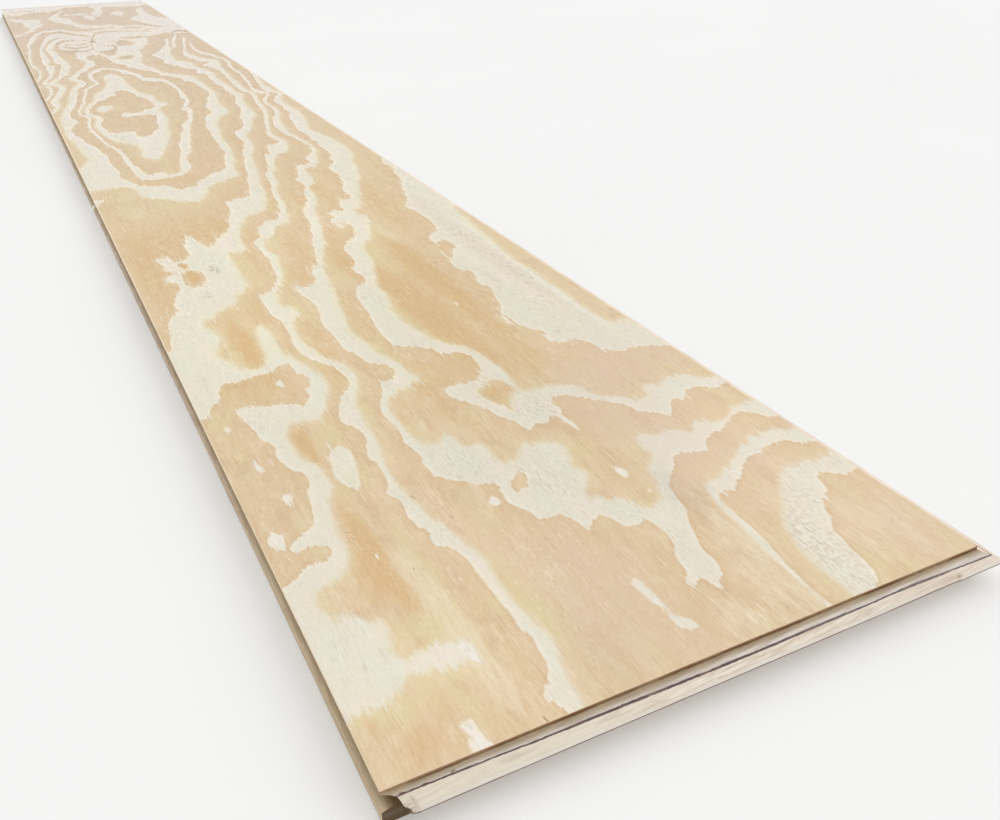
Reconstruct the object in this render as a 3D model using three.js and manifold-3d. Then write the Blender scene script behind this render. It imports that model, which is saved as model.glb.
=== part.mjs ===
// Tongue and groove plywood sheet: one narrow length of pine plywood, machined on all four edges.
//
// Units are millimetres, +Z is up. The sheet lies flat on the plane Z = 0 with its best face up.
//   +X  along the length, from the end that carries a tongue to the end that carries a groove
//   +Y  across the width, from the long edge that carries a tongue to the long edge that carries a groove
// The origin is at the middle of the bounding box, on the underside.
//
// The edge section is the same on the ends and on the long edges. A thin lip of face veneer stands
// over a wedge-shaped tongue, whose upper side starts straight under that lip and falls towards
// the tip. The groove is the same wedge with a little clearance, so its upper lip is thin at the
// mouth too. Each pass of the cutter runs off both ends of its edge: the tongues therefore meet in a
// mitre where the two tongue edges meet, and stop short wherever a groove crosses them.

import * as THREE from 'three';
import { mergeVertices } from 'three/addons/utils/BufferGeometryUtils.js';
import Module from 'manifold-3d';

// ---- sheet -------------------------------------------------------------------------------------
const FACE_LENGTH = 2440;      // top face, shoulder to shoulder
const FACE_WIDTH = 305;        // top face, shoulder to shoulder
const THICKNESS = 18;

// ---- tongue, as depths below the top face ------------------------------------------------------
const TONGUE_OUT = 8.5;        // how far the tip stands out from the shoulder
const TONGUE_ROOT_TOP = 2.2;   // underside of the face veneer's lip
const TONGUE_TIP_TOP = 5.2;
const TONGUE_TIP_BOTTOM = 8.7;
const TONGUE_ROOT_BOTTOM = 11.0;
const TONGUE_EASE = 0.5;       // eased corners of the tip

// ---- groove, as depths below the top face ------------------------------------------------------
const GROOVE_DEEP = 9.0;       // how far the floor lies in from the edge
const GROOVE_MOUTH_TOP = 2.0;
const GROOVE_FLOOR_TOP = 5.15;
const GROOVE_FLOOR_BOTTOM = 8.85;
const GROOVE_MOUTH_BOTTOM = 11.3;

// ---- finish ------------------------------------------------------------------------------------
const PINE = 0xe2caa2;

const OVERALL_LENGTH = FACE_LENGTH + TONGUE_OUT;
const OVERALL_WIDTH = FACE_WIDTH + TONGUE_OUT;

// One edge-to-edge section. u runs from the tongue's shoulder (0) to the groove's edge (run), v is
// the height above the underside. The points go round anticlockwise.
function edgeSection(run) {
  const h = (depth) => THICKNESS - depth;
  const e = TONGUE_EASE;
  const pts = [
    [0, 0],
    [run, 0],
    [run, h(GROOVE_MOUTH_BOTTOM)],
    [run - GROOVE_DEEP, h(GROOVE_FLOOR_BOTTOM)],
    [run - GROOVE_DEEP, h(GROOVE_FLOOR_TOP)],
    [run, h(GROOVE_MOUTH_TOP)],
    [run, h(0)],
    [0, h(0)],
    [0, h(TONGUE_ROOT_TOP)],
    [-TONGUE_OUT + e, h(TONGUE_TIP_TOP) + e * (TONGUE_TIP_TOP - TONGUE_ROOT_TOP) / TONGUE_OUT],
    [-TONGUE_OUT, h(TONGUE_TIP_TOP + e)],
    [-TONGUE_OUT, h(TONGUE_TIP_BOTTOM - e)],
    [-TONGUE_OUT + e, h(TONGUE_TIP_BOTTOM) - e * (TONGUE_ROOT_BOTTOM - TONGUE_TIP_BOTTOM) / TONGUE_OUT],
    [0, h(TONGUE_ROOT_BOTTOM)],
  ];
  return new THREE.Shape(pts.map(([u, v]) => new THREE.Vector2(u, v)));
}

// A section pushed straight through the sheet, centred along the way it is pushed.
function pushed(shape, through) {
  const g = new THREE.ExtrudeGeometry(shape, { depth: through, bevelEnabled: false, steps: 1 });
  g.translate(0, 0, -through / 2);
  return g;
}

const wasm = await Module();
wasm.setup();

function toSolid(geometry) {
  const g = geometry.clone();
  g.deleteAttribute('normal');
  g.deleteAttribute('uv');
  const m = mergeVertices(g, 1e-4);
  return new wasm.Manifold(new wasm.Mesh({
    numProp: 3,
    vertProperties: new Float32Array(m.getAttribute('position').array),
    triVerts: new Uint32Array(m.getIndex().array),
  }));
}

function toGeometry(solid) {
  const mesh = solid.getMesh();
  const n = mesh.vertProperties.length / mesh.numProp;
  const xyz = new Float32Array(n * 3);
  for (let i = 0; i < n; i++) {
    for (let k = 0; k < 3; k++) xyz[i * 3 + k] = mesh.vertProperties[i * mesh.numProp + k];
  }
  const g = new THREE.BufferGeometry();
  g.setAttribute('position', new THREE.BufferAttribute(xyz, 3));
  g.setIndex(new THREE.BufferAttribute(new Uint32Array(mesh.triVerts), 1));
  g.computeVertexNormals();
  return g;
}

// The end-to-end section, pushed across the width: u -> +X, v -> +Z, depth -> Y.
const lengthwise = pushed(edgeSection(FACE_LENGTH), OVERALL_WIDTH);
lengthwise.rotateX(Math.PI / 2);
lengthwise.translate(TONGUE_OUT - OVERALL_LENGTH / 2, 0, 0);

// The side-to-side section, pushed along the length: u -> +Y, v -> +Z, depth -> X.
const crosswise = pushed(edgeSection(FACE_WIDTH), OVERALL_LENGTH);
crosswise.applyMatrix4(new THREE.Matrix4().makeBasis(
  new THREE.Vector3(0, 1, 0),
  new THREE.Vector3(0, 0, 1),
  new THREE.Vector3(1, 0, 0),
));
crosswise.translate(0, TONGUE_OUT - OVERALL_WIDTH / 2, 0);

// The sheet is what both passes of the machine leave.
const sheet = new THREE.Mesh(
  toGeometry(toSolid(lengthwise).intersect(toSolid(crosswise))),
  new THREE.MeshStandardMaterial({ color: PINE, roughness: 0.68, metalness: 0.0 }),
);
sheet.name = 'plywood_sheet';

const group = new THREE.Group();
group.name = 'tongue_and_groove_plywood_sheet';
group.add(sheet);

export default group;
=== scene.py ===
import math

import bpy
import numpy as np
from mathutils import Matrix, Vector
from mathutils.geometry import delaunay_2d_cdt


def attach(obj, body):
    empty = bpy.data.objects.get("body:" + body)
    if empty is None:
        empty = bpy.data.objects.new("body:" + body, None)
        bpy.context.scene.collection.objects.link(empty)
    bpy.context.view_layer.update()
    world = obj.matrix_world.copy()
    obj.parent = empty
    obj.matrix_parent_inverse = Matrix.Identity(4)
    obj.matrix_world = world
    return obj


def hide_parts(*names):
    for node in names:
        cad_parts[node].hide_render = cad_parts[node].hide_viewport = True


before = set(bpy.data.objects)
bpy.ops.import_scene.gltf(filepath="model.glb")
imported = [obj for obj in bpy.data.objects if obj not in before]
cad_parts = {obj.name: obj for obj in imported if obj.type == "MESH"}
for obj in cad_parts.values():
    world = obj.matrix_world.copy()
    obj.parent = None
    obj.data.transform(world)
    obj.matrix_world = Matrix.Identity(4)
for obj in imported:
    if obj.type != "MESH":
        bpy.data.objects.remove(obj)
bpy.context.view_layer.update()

# A tongue and groove pine plywood sheet. Lengths in the modelling code are millimetres:
# X runs from the near (tongue) end of the face, b from its left (groove) side, h down from the face.
LONG, WIDE, THICK = 2440.0, 305.0, 18.0
OFF_X, OFF_Y = -1215.75, 156.75


def place(X, b, h):
    return np.stack([(X + OFF_X), (OFF_Y - b), (THICK - h)], -1) * 0.001


# ---------------------------------------------------------------- growth rings on the face
# Outlines drawn: + is pale earlywood, - is tan wood over it. c, m, s and v say how soft
# the edge that follows is: crisp, medium, soft, very soft.
FIGURE = """
+ c 127,-8 127,0 131,7 136,13 139,18 137,22 140,27 145,30 149,29 152,24 152,18 151,14 155,12 159,14 163,19 166,25 173,30 180,31 190,33 200,34 206,37 213,38 219,37 224,33 235,30 243,29 250,31 258,30 265,26 276,26 285,24 300,22 304,21 307,25 307,30 303,40 302,48 296,57 293,60 297,64 303,67 312,67 317,71 325,74 332,73 337,69 346,69 354,67 355,62 348,57 346,50 345,40 343,32 344,26 340,21 335,18 326,17 320,12 311,8 305,5 303,0 303,-8 410,-8 412,3 425,5 440,8 455,9 463,12 474,17 480,21 492,20 500,22 509,25 513,28 520,30 530,31 537,31 541,27 548,24 554,28 558,35 563,31 570,27 578,28 590,25 600,25 604,28 603,34 590,37 586,40 585,44 592,50 602,53 615,52 625,54 640,57 651,59 640,63 625,66 612,69 608,71 613,74 616,78 628,82 633,87 640,91 646,95 658,100 670,102 682,105 692,109 700,111 712,112 722,112 731,114 731,118 735,122 738,127 736,133 738,137 745,140 755,142 765,144 775,147 785,149 800,151 815,156 830,158 845,161 860,163 870,166 880,168 890,171 900,171 910,173 920,177 935,181 945,184 955,187 965,187 975,186 985,187 1000,187 1010,189 1018,192 1022,197 1030,202 1040,206 1050,209 1060,211 1075,213 1085,212 1095,215 1105,219 1120,223 1135,227 1145,229 1160,229 1175,229 1190,232 1205,236 1220,239 1235,240 1245,239 1260,238 1275,237 1295,239 1310,237 1325,236 1340,237 1355,237 1370,236 1385,237 1400,239 1412,238 1420,234 1427,229 1440,230 1450,234 1458,235 1463,229 1470,223 1480,221 1490,217 1500,215 1512,213 1520,209 1530,204 1545,202 1560,202 1575,204 1590,203 1600,201 1610,199 1620,196 1632,195 1642,197 1648,202 1655,206 1665,211 1680,217 1695,222 1710,227 1720,231 1735,236 1750,240 1765,242 1780,243 1795,244 1806,248 1812,255 s 1800,252 1780,249 1760,246 1740,242 1720,238 1700,240 1685,238 1670,233 1655,230 1640,228 1630,225 1615,224 1600,225 1585,224 1570,223 1558,224 1548,228 1540,234 1530,239 1515,240 1500,238 1485,239 1475,241 1465,245 1455,248 1440,248 1430,250 1415,253 1400,250 1380,248 1360,248 1340,248 1320,248 1300,249 1280,249 1265,248 1250,249 1240,252 1228,252 1215,248 1205,245 1190,243 1175,241 1160,240 1135,239 1120,238 1100,236 1090,234 1080,231 1070,226 1055,221 1040,217 1025,213 1015,210 1005,205 995,200 985,197 970,195 955,194 940,193 925,190 915,187 905,184 895,180 880,178 860,174 840,171 820,168 800,164 780,160 760,158 745,156 730,154 715,150 700,145 690,141 684,136 680,130 678,124 674,119 665,116 655,112 645,108 632,104 620,101 600,99 590,98 583,94 581,89 583,84 578,82 560,81 540,80.5 515,80 505,79 499,76 491,72 487,68 480,65 473,61 467,56 463,50 458,44 451,40 453,36 450,33 440,33 430,36 415,38 408,36 402,33 395,31 385,31 378,35 366,38 360,42 357,48 361,53 370,57 385,59 400,60 418,62 425,66 420,69 405,71 390,70 375,70 363,72 355,75 345,78 335,81 320,82 305,80 295,76 285,72 277,67 272,62 270,57 273,54 274,49 268,44 260,41 250,40 240,40.5 230,43 220,47 210,48 200,48 194,46 188,42 180,40 170,38.5 160,37.5 150,37.5 141,37 134,35 127,32 122,26 120,20 116,14 109,12 103,14 96,20 91,25 86,31 78,33 66,31 60,34 61,42 60,52 59,60 50,62 41,61 43,54 44,46 46,38 47,30 40,22 38,15 37,8 36,0 36,-8
+ m 190,58 198,53 210,52 220,54 228,55 232,58 236,60 236,64 232,67 220,67 208,65 200,63 193,61
+ c 155,10 159,6 163,4 168,4.5 172,7 171,10 168,12 162,11.5 157,11
+ m 193,23 196,21 200,20 203,22 202,25 197,25.5
+ m 229,18 233,16 238,16 243,17.5 236,19 231,19.5
+ m 234,25.5 238,24 242,25 238,26
+ m 281,12 284,10.5 288,12.5 284,13.5
+ m -5,36 2,37 6,38 8,40 14,38 16,41 15,43 8,44 3,45 -5,47
+ c -8,77 0,78 8,76 10,74 14,74 17,77 20,79 24,82 28,84 36,84.5 47,86 52,84 60,84.5 80,84 100,84 112,83.5 118,81 121,79 124,76 130,75 137,77 142,74 148,73 152,72 158,73 163,74 170,74 175,72 179,70 184,73 190,75 200,76 210,76 214,74.5 222,75 230,78 237,80 247,80 253,78 257,75 265,74 275,76.5 285,80 292,83 297,86 303,92 312,95 325,94 335,92 340,88 350,85 355,82 368,79.5 380,79 395,81 410,82 425,82.5 432,81 437,79.5 450,79.5 465,80 478,80.5 481,83 482,88 487,93 495,97 505,101 515,104 530,105.5 545,108 555,109 570,108 590,108 602,108 606,111 610,115 616,117.5 625,118 635,120 640,122 645,127 651,129 655,132 655,139 656,144 665,147 674,149 676,152 685,154 695,155 700,157 715,159 730,160 745,163 758,166 770,168 785,170 795,172 803,172 812,175 820,178 830,181 845,185 855,186 862,188 870,190 885,192 893,194 888,197 886,199 900,201 915,204 928,207 932,211 930,216 933,222 940,224 950,222 965,221 980,220 990,223 1000,226 1020,230 1040,233 1060,238 1080,243 1100,247 1120,250 1140,252 1160,254 1180,256 1200,259 1220,262 1238,263 1246,258 1260,257 1280,256 1300,256 1320,258 1340,260 1360,261 1380,262 1400,263 1420,264 1440,264 1455,261 1470,257 1480,252 1495,251 1500,255 1508,262 1514,268 1522,266 1528,258 1534,251 1545,251 1558,251 1572,248 1585,245 1600,243 1615,244 1630,247 1650,250 1670,255 1690,259 1720,264 1750,268 1780,274 1810,282 s 1780,280 1750,273 1720,268 1700,265 1680,261 1660,257 1640,255.5 1620,255 1605,256 1590,259 1575,262 1562,266 1550,272 1540,279 1525,282 1510,281 1490,279 1470,276 1455,274 1440,273 1420,272 1400,271 1380,269 1360,268 1340,268 1320,267 1300,265 1280,264 1265,265 1250,268 1235,269 1220,268 1205,266 1190,262 1175,260 1160,259 1140,258 1120,256 1100,253 1085,250 1070,246 1050,241 1030,236 1010,232 1000,230 985,227 970,227 955,229 945,231 935,231 920,229 905,225 892,221 886,214 884,207 876,203 866,200 860,197 850,194 840,191 830,189 820,186 810,182 800,179 790,178 780,177 765,174 755,171 745,168 730,166 715,164 700,162 690,161 680,159 670,157 660,155 650,153 643,150 638,145 634,139 628,135 620,132 612,128 607,124 600,119 590,114 580,113 572,113 560,117 545,115 535,113 520,111 505,107 495,103 485,98 475,94 460,91 452,92 446,96 440,99 432,99 426,96 420,92 410,88 395,86 380,87 365,90 355,92 345,96 335,100 320,101.5 308,101 300,98 290,94 280,90 265,88 250,86 225,84 205,80 185,79 170,80 150,83 135,86 118,89 112,91 100,92 90,90.5 80,90 65,90.5 50,92 42,93.5 35,92.5 28,90 20,88 10,87 0,86 -8,86
+ c 142,312 144,303 148,298 155,294 159,288 158,282 155,277 150,270 147,265 148,260 145,257 144,252 140,248 133,244 134,240 137,234 138,228 135,222 128,218 122,212 116,206 108,203 100,201 93,200 86,197 78,193 70,190 60,187 50,187 42,184 38,180 30,177 38,175 45,173 39,167 43,165 50,170 60,172 66,175 73,178 80,179 88,178 94,177 93,172 93,166 98,163 106,161 108,157 105,152 100,147 110,145 117,142 119,138 118,134 119,130 126,129 131,127 136,124 140,123 144,123 147,124 152,124 155,126 160,124 161,120 165,114 170,110 173,106 178,103 181,99.5 190,99 196,98.5 203,101 215,99 222,98 232,100 245,99.5 255,98.5 262,99 270,101 278,105 285,109 292,110 300,113 301,120 305,124 312,126 320,124 325,119 328,115 338,113 345,112 352,109 362,107.5 380,108 400,107 410,108 420,110 430,112 440,113 450,112 465,110 478,110 484,112 480,118 482,122 490,127 494,130 505,130 515,134 520,138 530,142 545,146 555,148 565,150 575,152 590,157 600,160 610,161 620,165 635,168 650,169 662,170 670,173 680,178 690,182 700,186 710,187 722,188 730,192 740,196 750,198 760,197 768,194 776,196 780,200 790,203 800,205 815,209 828,212 824,217 825,221 828,226 840,230 848,228 856,232 865,237 870,242 880,246 895,249 905,249 920,247 940,246 955,244 965,241 985,240 1000,240 1020,240 1040,244 1060,249 1075,255 1090,260 1105,263 1125,265 1145,264 1160,264 1175,266 1185,269 1195,274 1205,279 1215,282 1225,276 1235,271 1260,271 1280,274 1300,277 1320,279 1340,281 1360,283 1380,285 1400,285 1420,284 1440,284 1460,285 1480,288 1500,293 1520,291 1540,289 1552,285 1565,284 1578,281 1590,276 1605,271 1620,269 1650,269 1680,271 1700,273 1720,275 1750,279 1720,279 1700,277 1680,275 1650,274 1630,277 1615,281 1600,287 1585,289 1565,291 1545,297 1520,297 1500,298 1480,293 1460,290 1440,289 1420,289 1400,290 1380,289 1360,287 1340,285 1320,283 1300,280.5 1280,278 1262,277 1245,280 1225,285 1210,286 1198,282 1188,277 1178,272 1160,269 s 1145,268 1120,269 1100,268 1080,264 1065,260 1050,256 1030,252 1010,250 990,248 975,246 960,249 940,250 920,252 900,252 885,251 870,248 860,245 845,241 830,237 820,233 812,228 814,222 812,217 806,215 795,214 780,213 765,211 752,209 746,205 742,200 730,199 715,197 700,195 690,192 680,189 670,186 660,182 650,179 635,178 620,175 610,172 600,170 585,166 570,162 560,158 545,153 530,147 515,143 500,140 480,138 455,134 440,131 425,129 412,126 400,124 385,122 365,124 345,127 330,130 320,133 310,134 300,135 293,137 288,133 285,127 282,120 280,114 275,109 265,105 255,104 240,104 225,106 216,108 213,113 216,117 220,122 212,126 204,128 200,133 195,138 186,137 178,138 176,141 178,146 183,150 188,156 187,161 185,167 182,174 178,176 170,175 163,173 156,170 150,172 144,173 136,168 130,163 124,163 121,168 118,174 113,178 106,182 103,186 104,191 110,196 118,200 128,203 135,206 140,212 148,215 155,214 164,217 165,222 163,230 162,238 158,244 155,248 160,254 163,260 158,265 155,270 158,277 163,284 167,290 167,312
- c 147,132 151,131 156,132 160,136 163,141 159,143 153,141 149,138
+ m 305,179 292,178 283,175 276,170 273,165 272,158 273,150 275,147 c 270,144 262,143 258,144 252,148 247,150 243,153 235,156 228,158 220,160 214,164 205,166 200,169 206,174 204,178 205,183 210,186 208,189 198,190 188,192 186,193.5 195,194 208,193 215,196 222,194 228,197 229,203 226,208 220,214 213,219 209,224 202,231 196,234 188,235 186,240 180,245 175,248 180,253 187,257 192,261 189,266 191,271 197,276 199,280 197,286 193,291 191,297 193,302 196,312 s 204,312 207,298 214,290 218,282 217,272 211,264 216,258 212,254 204,252 201,247 206,240 213,231 222,222 232,221 238,216 243,208 245,198 244,188 247,185 258,187 270,188 285,189 300,187 310,185
- m 225,170 232,167 240,164 252,161 s 258,163 262,168 268,173 267,178 262,182 253,184 246,181 243,177 235,172
+ c 296,179 305,178.5 308,177 313,176 316,172 315,168 320,163 328,160 333,155 338,150 342,144 346,140 355,139 370,138.5 385,140 400,142 415,144 430,145 445,146 452,149 458,151 463,156 468,161 473,164 480,164.5 490,163 500,162 505,165 510,168 520,170 535,171 545,171 555,174 561,177 565,182 570,187 575,190 585,194 600,197 608,197 613,194 615,187 620,184 628,186 633,190 638,193 643,190 650,192 652,196 656,199 650,201 647,205 655,208 662,206 670,208 680,212 687,214 680,217 682,222 690,227 700,227 712,226 722,229 730,232 740,235 755,238 770,241 778,240 790,239 802,241 810,244 815,248 822,253 832,253 838,252 845,256 850,258 865,260 880,260 895,260 910,262 925,261 945,262 955,263 970,262 976,260 990,260 1005,263 1025,266 1045,268 1060,270 1072,275 1085,279 1100,278 1115,278 1130,281 1140,279 1160,279 1172,281 1185,285 1195,290 1205,296 1215,297 1222,292 1232,287 1250,286 1270,288 1285,291 1300,292 1320,294 1340,297 1360,300 1380,302 1400,304 1420,306 1420,312 s 1340,303 1320,300 1300,299.5 1280,298 1260,299 1240,300 1225,303 1212,305 1200,301 1188,296 1175,291 1160,290 1140,289 1120,289 1100,291 1085,291 1070,290 1050,288 1035,286 1020,282 1005,280 990,275 975,275 960,277 945,280 925,283 900,284 880,286 860,285 840,281 830,278 815,272 800,270 790,268 780,266 770,262 755,259 745,256 735,251 725,247 712,243 700,240 685,234 670,230 655,224 645,217 635,214 625,218 612,217 600,214 590,211 580,208 568,203 560,197 550,192 535,188 520,186 505,184 495,180 485,177 473,174 462,169 450,167 435,167 425,165 415,163 405,161 390,160 378,160 372,163 360,165 350,166 342,168 335,172 328,177 318,182 305,186 296,187
+ c 256,312 257,303 259,297 263,291 264,285 266,278 263,272 266,267 272,262 280,260 288,258 293,256 296,250 294,245 298,239 302,236 310,237 320,240 323,236 330,232 338,230 350,230 363,229 368,232 375,235 385,237 395,239 403,242 410,243 415,241 425,240 432,242 438,244 448,244 453,240 460,238 472,238 480,240 484,244 490,247 498,250 503,256 508,258 520,257 527,256 524,251 523,247 530,245 540,248 546,252 552,257 558,261 570,264 585,266 600,265 612,265 622,264 632,261 640,265 645,268 655,272 665,275 680,279 692,282 700,284 710,288 720,291 735,294 750,295 758,297 765,300 775,300 785,297 800,300 812,304 820,312 v 640,314 600,302 560,297 520,294 500,292 480,289 460,288 440,289 420,290 400,288 370,288 340,287 320,288 312,292 307,300 305,312
+ m 340,226.5 347,225 357,226 350,228
+ c -8,213 0,213 15,213 30,214.5 40,216 50,218 60,219 70,219.5 80,219.5 90,220 93,222 96,226 94,232 100,239 104,245 110,251 115,257 117,263 118,270 121,278 122,284 120,290 115,295 113,300 116,312 s 130,312 130,297 134,290 133,282 134,275 128,268 126,260 118,250 112,240 108,230 106,222 99,219 90,216.5 70,214.5 50,212.5 36,212 m 20,211 8,210.8 -8,211
+ c -8,238 0,240 5,245 8,247 18,249 28,250 35,252 42,253 48,257 55,261 62,264 66,270 72,276 78,278 84,280 85,284 83,289 77,293 79,298 79,312 s 101,312 97,295 99,285 100,276 97,268 90,259 80,251 70,245 62,238 52,233 42,229.5 30,227.5 15,226.5 0,226 -8,225.5
+ m 16,150 18,147 20,145 25,144.5 32,146 40,144 50,143.5 55,142.5 57,145 54,147 44,148 36,148 28,147.5 25,149 22,152 17,152.5
+ m 140,116 143,114 147,115 149,117.5 148,120 143,120
+ m 131,189.5 134,188 140,187.5 144,190 139,192 133,192
+ s 832,-8 831,10 833,20 832,30 828,37 820,42 808,43 795,44 785,46 777,52 770,59 762,68 753,76 748,83 746,90 750,96 760,101 772,105 785,109 792,114 800,120 806,128 812,136 815,143 822,148 832,149 845,150 860,152 870,155 885,158 900,161 920,164 940,167 960,168 980,167 1000,170 1020,174 1040,177 1060,178 1075,182 1090,187 1105,193 1115,200 1125,206 1135,209 1150,210 1165,209 1180,209 1195,211 1210,212 1225,214 1240,217 1250,219 1265,221 1280,221 1300,221 1320,220 1340,220 1360,219 1380,219 1400,218 1410,217 1420,213 1428,205 1435,197 1445,192 1455,189 1465,183 1480,181 1495,181 1510,179 1520,174 1530,172 1545,170 1560,169 1575,168 1590,170 1600,173 1620,177 1640,180 1660,182 1680,184 1700,187 1720,194 1740,200 1760,208 1780,213 1800,215 1820,216 1840,222 1855,228 1865,235 1872,248 1880,258 1885,268 1872,275 1868,288 1880,292 1885,300 1890,312 2060,312 2075,252 2060,248 2050,245 2040,238 2030,232 2020,222 2025,208 2035,196 2050,190 2058,180 2055,165 2062,150 2070,138 2060,130 2045,124 2020,122 2000,130 1980,130 1985,120 1995,108 2010,98 2030,94 2040,85 2035,70 2020,62 2000,58 1975,56 1945,60 1910,57 1880,58 1860,66 1845,68 1820,64 1800,62 1785,63 1770,68 1760,76 1755,85 1745,90 1730,84 1715,82 1700,80 1680,79 1665,80 1650,81 1635,84 1622,88 1610,87 1595,83 1580,80 1565,77 1550,70 1535,64 1520,60 1505,55 1492,48 1480,46 1465,49 1455,53 1440,55 1425,53 1415,49 1405,45 1395,42 1380,39 1360,36 1345,34 1330,32 1315,30 1300,28 1280,24 1265,20 1255,17 1240,14 1225,13 1210,10 1195,7 1180,6 1160,7 1140,6 1100,5 1080,5 1060,7 1045,9 1030,10 1010,11 990,12 975,14 965,15 955,12 945,8 932,3 925,-8
- c 797,82 800,79 808,77 818,73 822,66 823,60 826,54 832,49 840,46 850,43 858,41 865,36.5 880,36 890,38 905,38 915,36 930,35 950,35 970,36 985,33 1000,31 1015,30 1025,28 1035,25 1045,22 1060,21 1075,20 1085,16 1095,13.5 1105,15 1115,13 1125,14 1140,16.5 1150,20 1160,24 1168,27 1178,26 1185,23 1200,21.5 1220,22 1235,25 1250,28 1265,32 1280,36 1300,39 1320,41 1340,44 1360,46 1375,48 1390,51 1400,57 1412,62 1425,66 1440,66 1452,64 1462,61 1472,59 1485,59 1500,63 1515,69 1530,75 1545,82 1560,87 1570,91 1580,95 1595,98.5 1610,99.5 1625,98 1640,95 1655,92 1668,93 1677,95 1683,100 1686,106 1682,114 1672,120 1655,122 1640,124 1620,126 1600,126 1588,127 1581,130 1575,135 1560,139 1545,141 1530,145 1520,150 1505,156 1495,161 1485,166 1478,170 1465,174 1450,176 1435,179 1427,183 1420,190 1410,194 1398,198 1385,199 1371,199 1365,204 1357,208 1340,209 1320,211 1300,212 1275,213 1262,212 1250,209 1235,204 1225,200.5 1215,199 1200,196 1190,192 1175,189 1160,188 1145,187.5 1137,187 1128,183 1120,178 1110,174 1095,171 1080,169 1065,165 1050,163 1035,164 1020,162 1000,160 985,159 970,159 950,157 935,156 925,157 913,155 903,151 890,149 880,146 860,143 852,140 848,136 843,130 840,124 832,119 825,113 820,108 812,103 803,100 801,95 800,88
+ m 845,75 845,66 849,58 856,54 870,52 885,51 900,51 920,50 940,50 960,50 980,49 1000,47 1010,44 1020,41.5 1030,40.5 1045,39 1060,38 1080,35.5 1100,34 1120,34 1140,34.5 1160,36 1175,39 1188,38 1198,34 1210,32 1225,32 1240,34 1255,38 1270,41 1285,45 1300,46 1320,49 1340,53 1360,55 1375,57 1390,61 1400,66 1410,72 1420,78 1440,77 1460,74 1480,75 1500,77 1515,80 1530,86 1542,93 1550,101 1552,108 1545,115 1535,121 1525,127 1515,133 1500,138 1485,140 1475,144 1460,148 1445,149 1432,150 1425,158 1420,166 1412,170 1400,174 1390,177 1375,179 1360,180 1340,181 1320,181 1300,181 1280,180 1260,179 1240,178 1220,176 1205,172 1190,168 1175,168 1160,168 1140,164 1120,160 1100,156 1080,149 1060,145 1040,141 1020,137 1000,133 980,130 960,126 940,121 925,115 910,112 895,111 880,110 868,107 858,102 850,96 846,86
- c 867,64 875,62 885,60 900,59 908,59 915,57 925,56 940,55 960,54.5 980,53.5 1000,51.5 1012,48.5 1022,45.5 1035,43.5 1050,42 1065,41.5 1080,40 1100,38 1120,37.5 1140,38.5 1160,40.5 1175,43.5 1190,42.5 1200,38 1212,35.5 1225,35.5 1240,37.5 1255,41.5 1270,45 1285,48.5 1300,50 1320,53 1340,57 1360,58.5 1372,61 1385,66 1395,72 1403,78 1412,82 1425,83 1440,82 1460,80 1480,80.5 1500,84 1512,89 1522,95 1530,101 1533,107 1528,113 1520,118 1510,122 1500,125 1488,125 1475,127 1470,133 1465,138 1450,141 1435,141 1420,141 1410,146 1402,149 1395,154 1390,162 1384,168 1375,171 1360,173 1340,175 1320,176 1300,176 1280,174 1265,171 1250,171 1235,173 1220,170 1205,165 1190,162 1180,157 1170,157 1160,160 1140,158 1120,154 1108,151 1100,147 1085,141 1070,138 1055,135 1040,130 1020,126 1000,121 980,116 960,114 945,112 932,108 915,105 900,102 885,100 872,98 862,93 858,87 862,81 872,79 870,72
+ s 925,83 930,78 940,71 955,70 970,73 985,73 1000,72 1015,66 1025,60 1035,54 1045,50 1060,48 1080,45 1100,43 1120,42 1140,43 1155,46 1170,49 1185,47 1195,43 1205,41 1220,40.5 1235,41 1250,44 1265,50 1280,56 1290,60 1300,62 1315,63 1330,66 1345,70 1355,78 1365,82 1380,84 1395,88 1410,92 1425,94 1440,93 1460,94 1475,97 1488,104 1490,110 1475,114 1460,118 1440,120 1420,120 1400,120 1380,121 1360,121 1345,124 1330,124 1315,127 1300,133 1290,138 1270,137 1255,137 1240,140 1230,146 1222,148 1214,144 1205,137 1195,132 1180,130 1160,131 1140,131 1120,129 1100,125 1085,122 1070,120 1050,119 1035,117 1020,113 1005,108 990,104 975,101 960,97 945,92 932,87
- c 1140,119 1125,117 1115,114 1105,113 1090,112 1080,110 1072,106 1065,101 1055,99 1047,96 1044,90 1046,84 1052,82 1065,82 1078,82 1079,76 1080,68 1081,60 1084,55 1090,53 1098,53 1108,52 1120,50 1135,50 1145,52 1155,55 1170,57 1185,56 1195,52 1205,47 1220,45.5 1235,47 1250,52 1265,58 1280,64 1290,72 1297,78 1303,82 1312,86 1318,92 1330,93 1342,94 1345,100 1354,104 1343,108 1340,113 1325,115 1310,118 1295,119 1280,122 1265,127 1250,130 1235,131 1222,130 1212,128 1205,125 1200,120 1199,112 1190,108 1182,104 1178,102 1186,97 1190,88 1187,82 1180,81 1170,82 1165,88 1166,96 1164,104 1162,112 1155,120 1148,121
+ s 1208,60 1215,57 1225,56 1235,58 1245,62 1252,68 1250,74 1240,78 1230,77 1220,73 1212,66
+ m 1470,-8 1480,0 1500,4 1520,7 1550,10 1580,10 1600,7 1640,4 1680,5 1720,7 1760,9 1800,12 1840,13 1870,15 1890,18 1910,22 1940,25 1960,29 1980,34 2000,39 s 2000,47 1980,42 1960,38 1940,36 1920,34 1900,29 1880,25 1860,20 1840,17.5 1800,16.5 1760,13.5 1720,10.5 1680,9 1640,9 1600,12 1580,14 1550,14 1520,12 1500,9 1485,5 1462,-8
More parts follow.
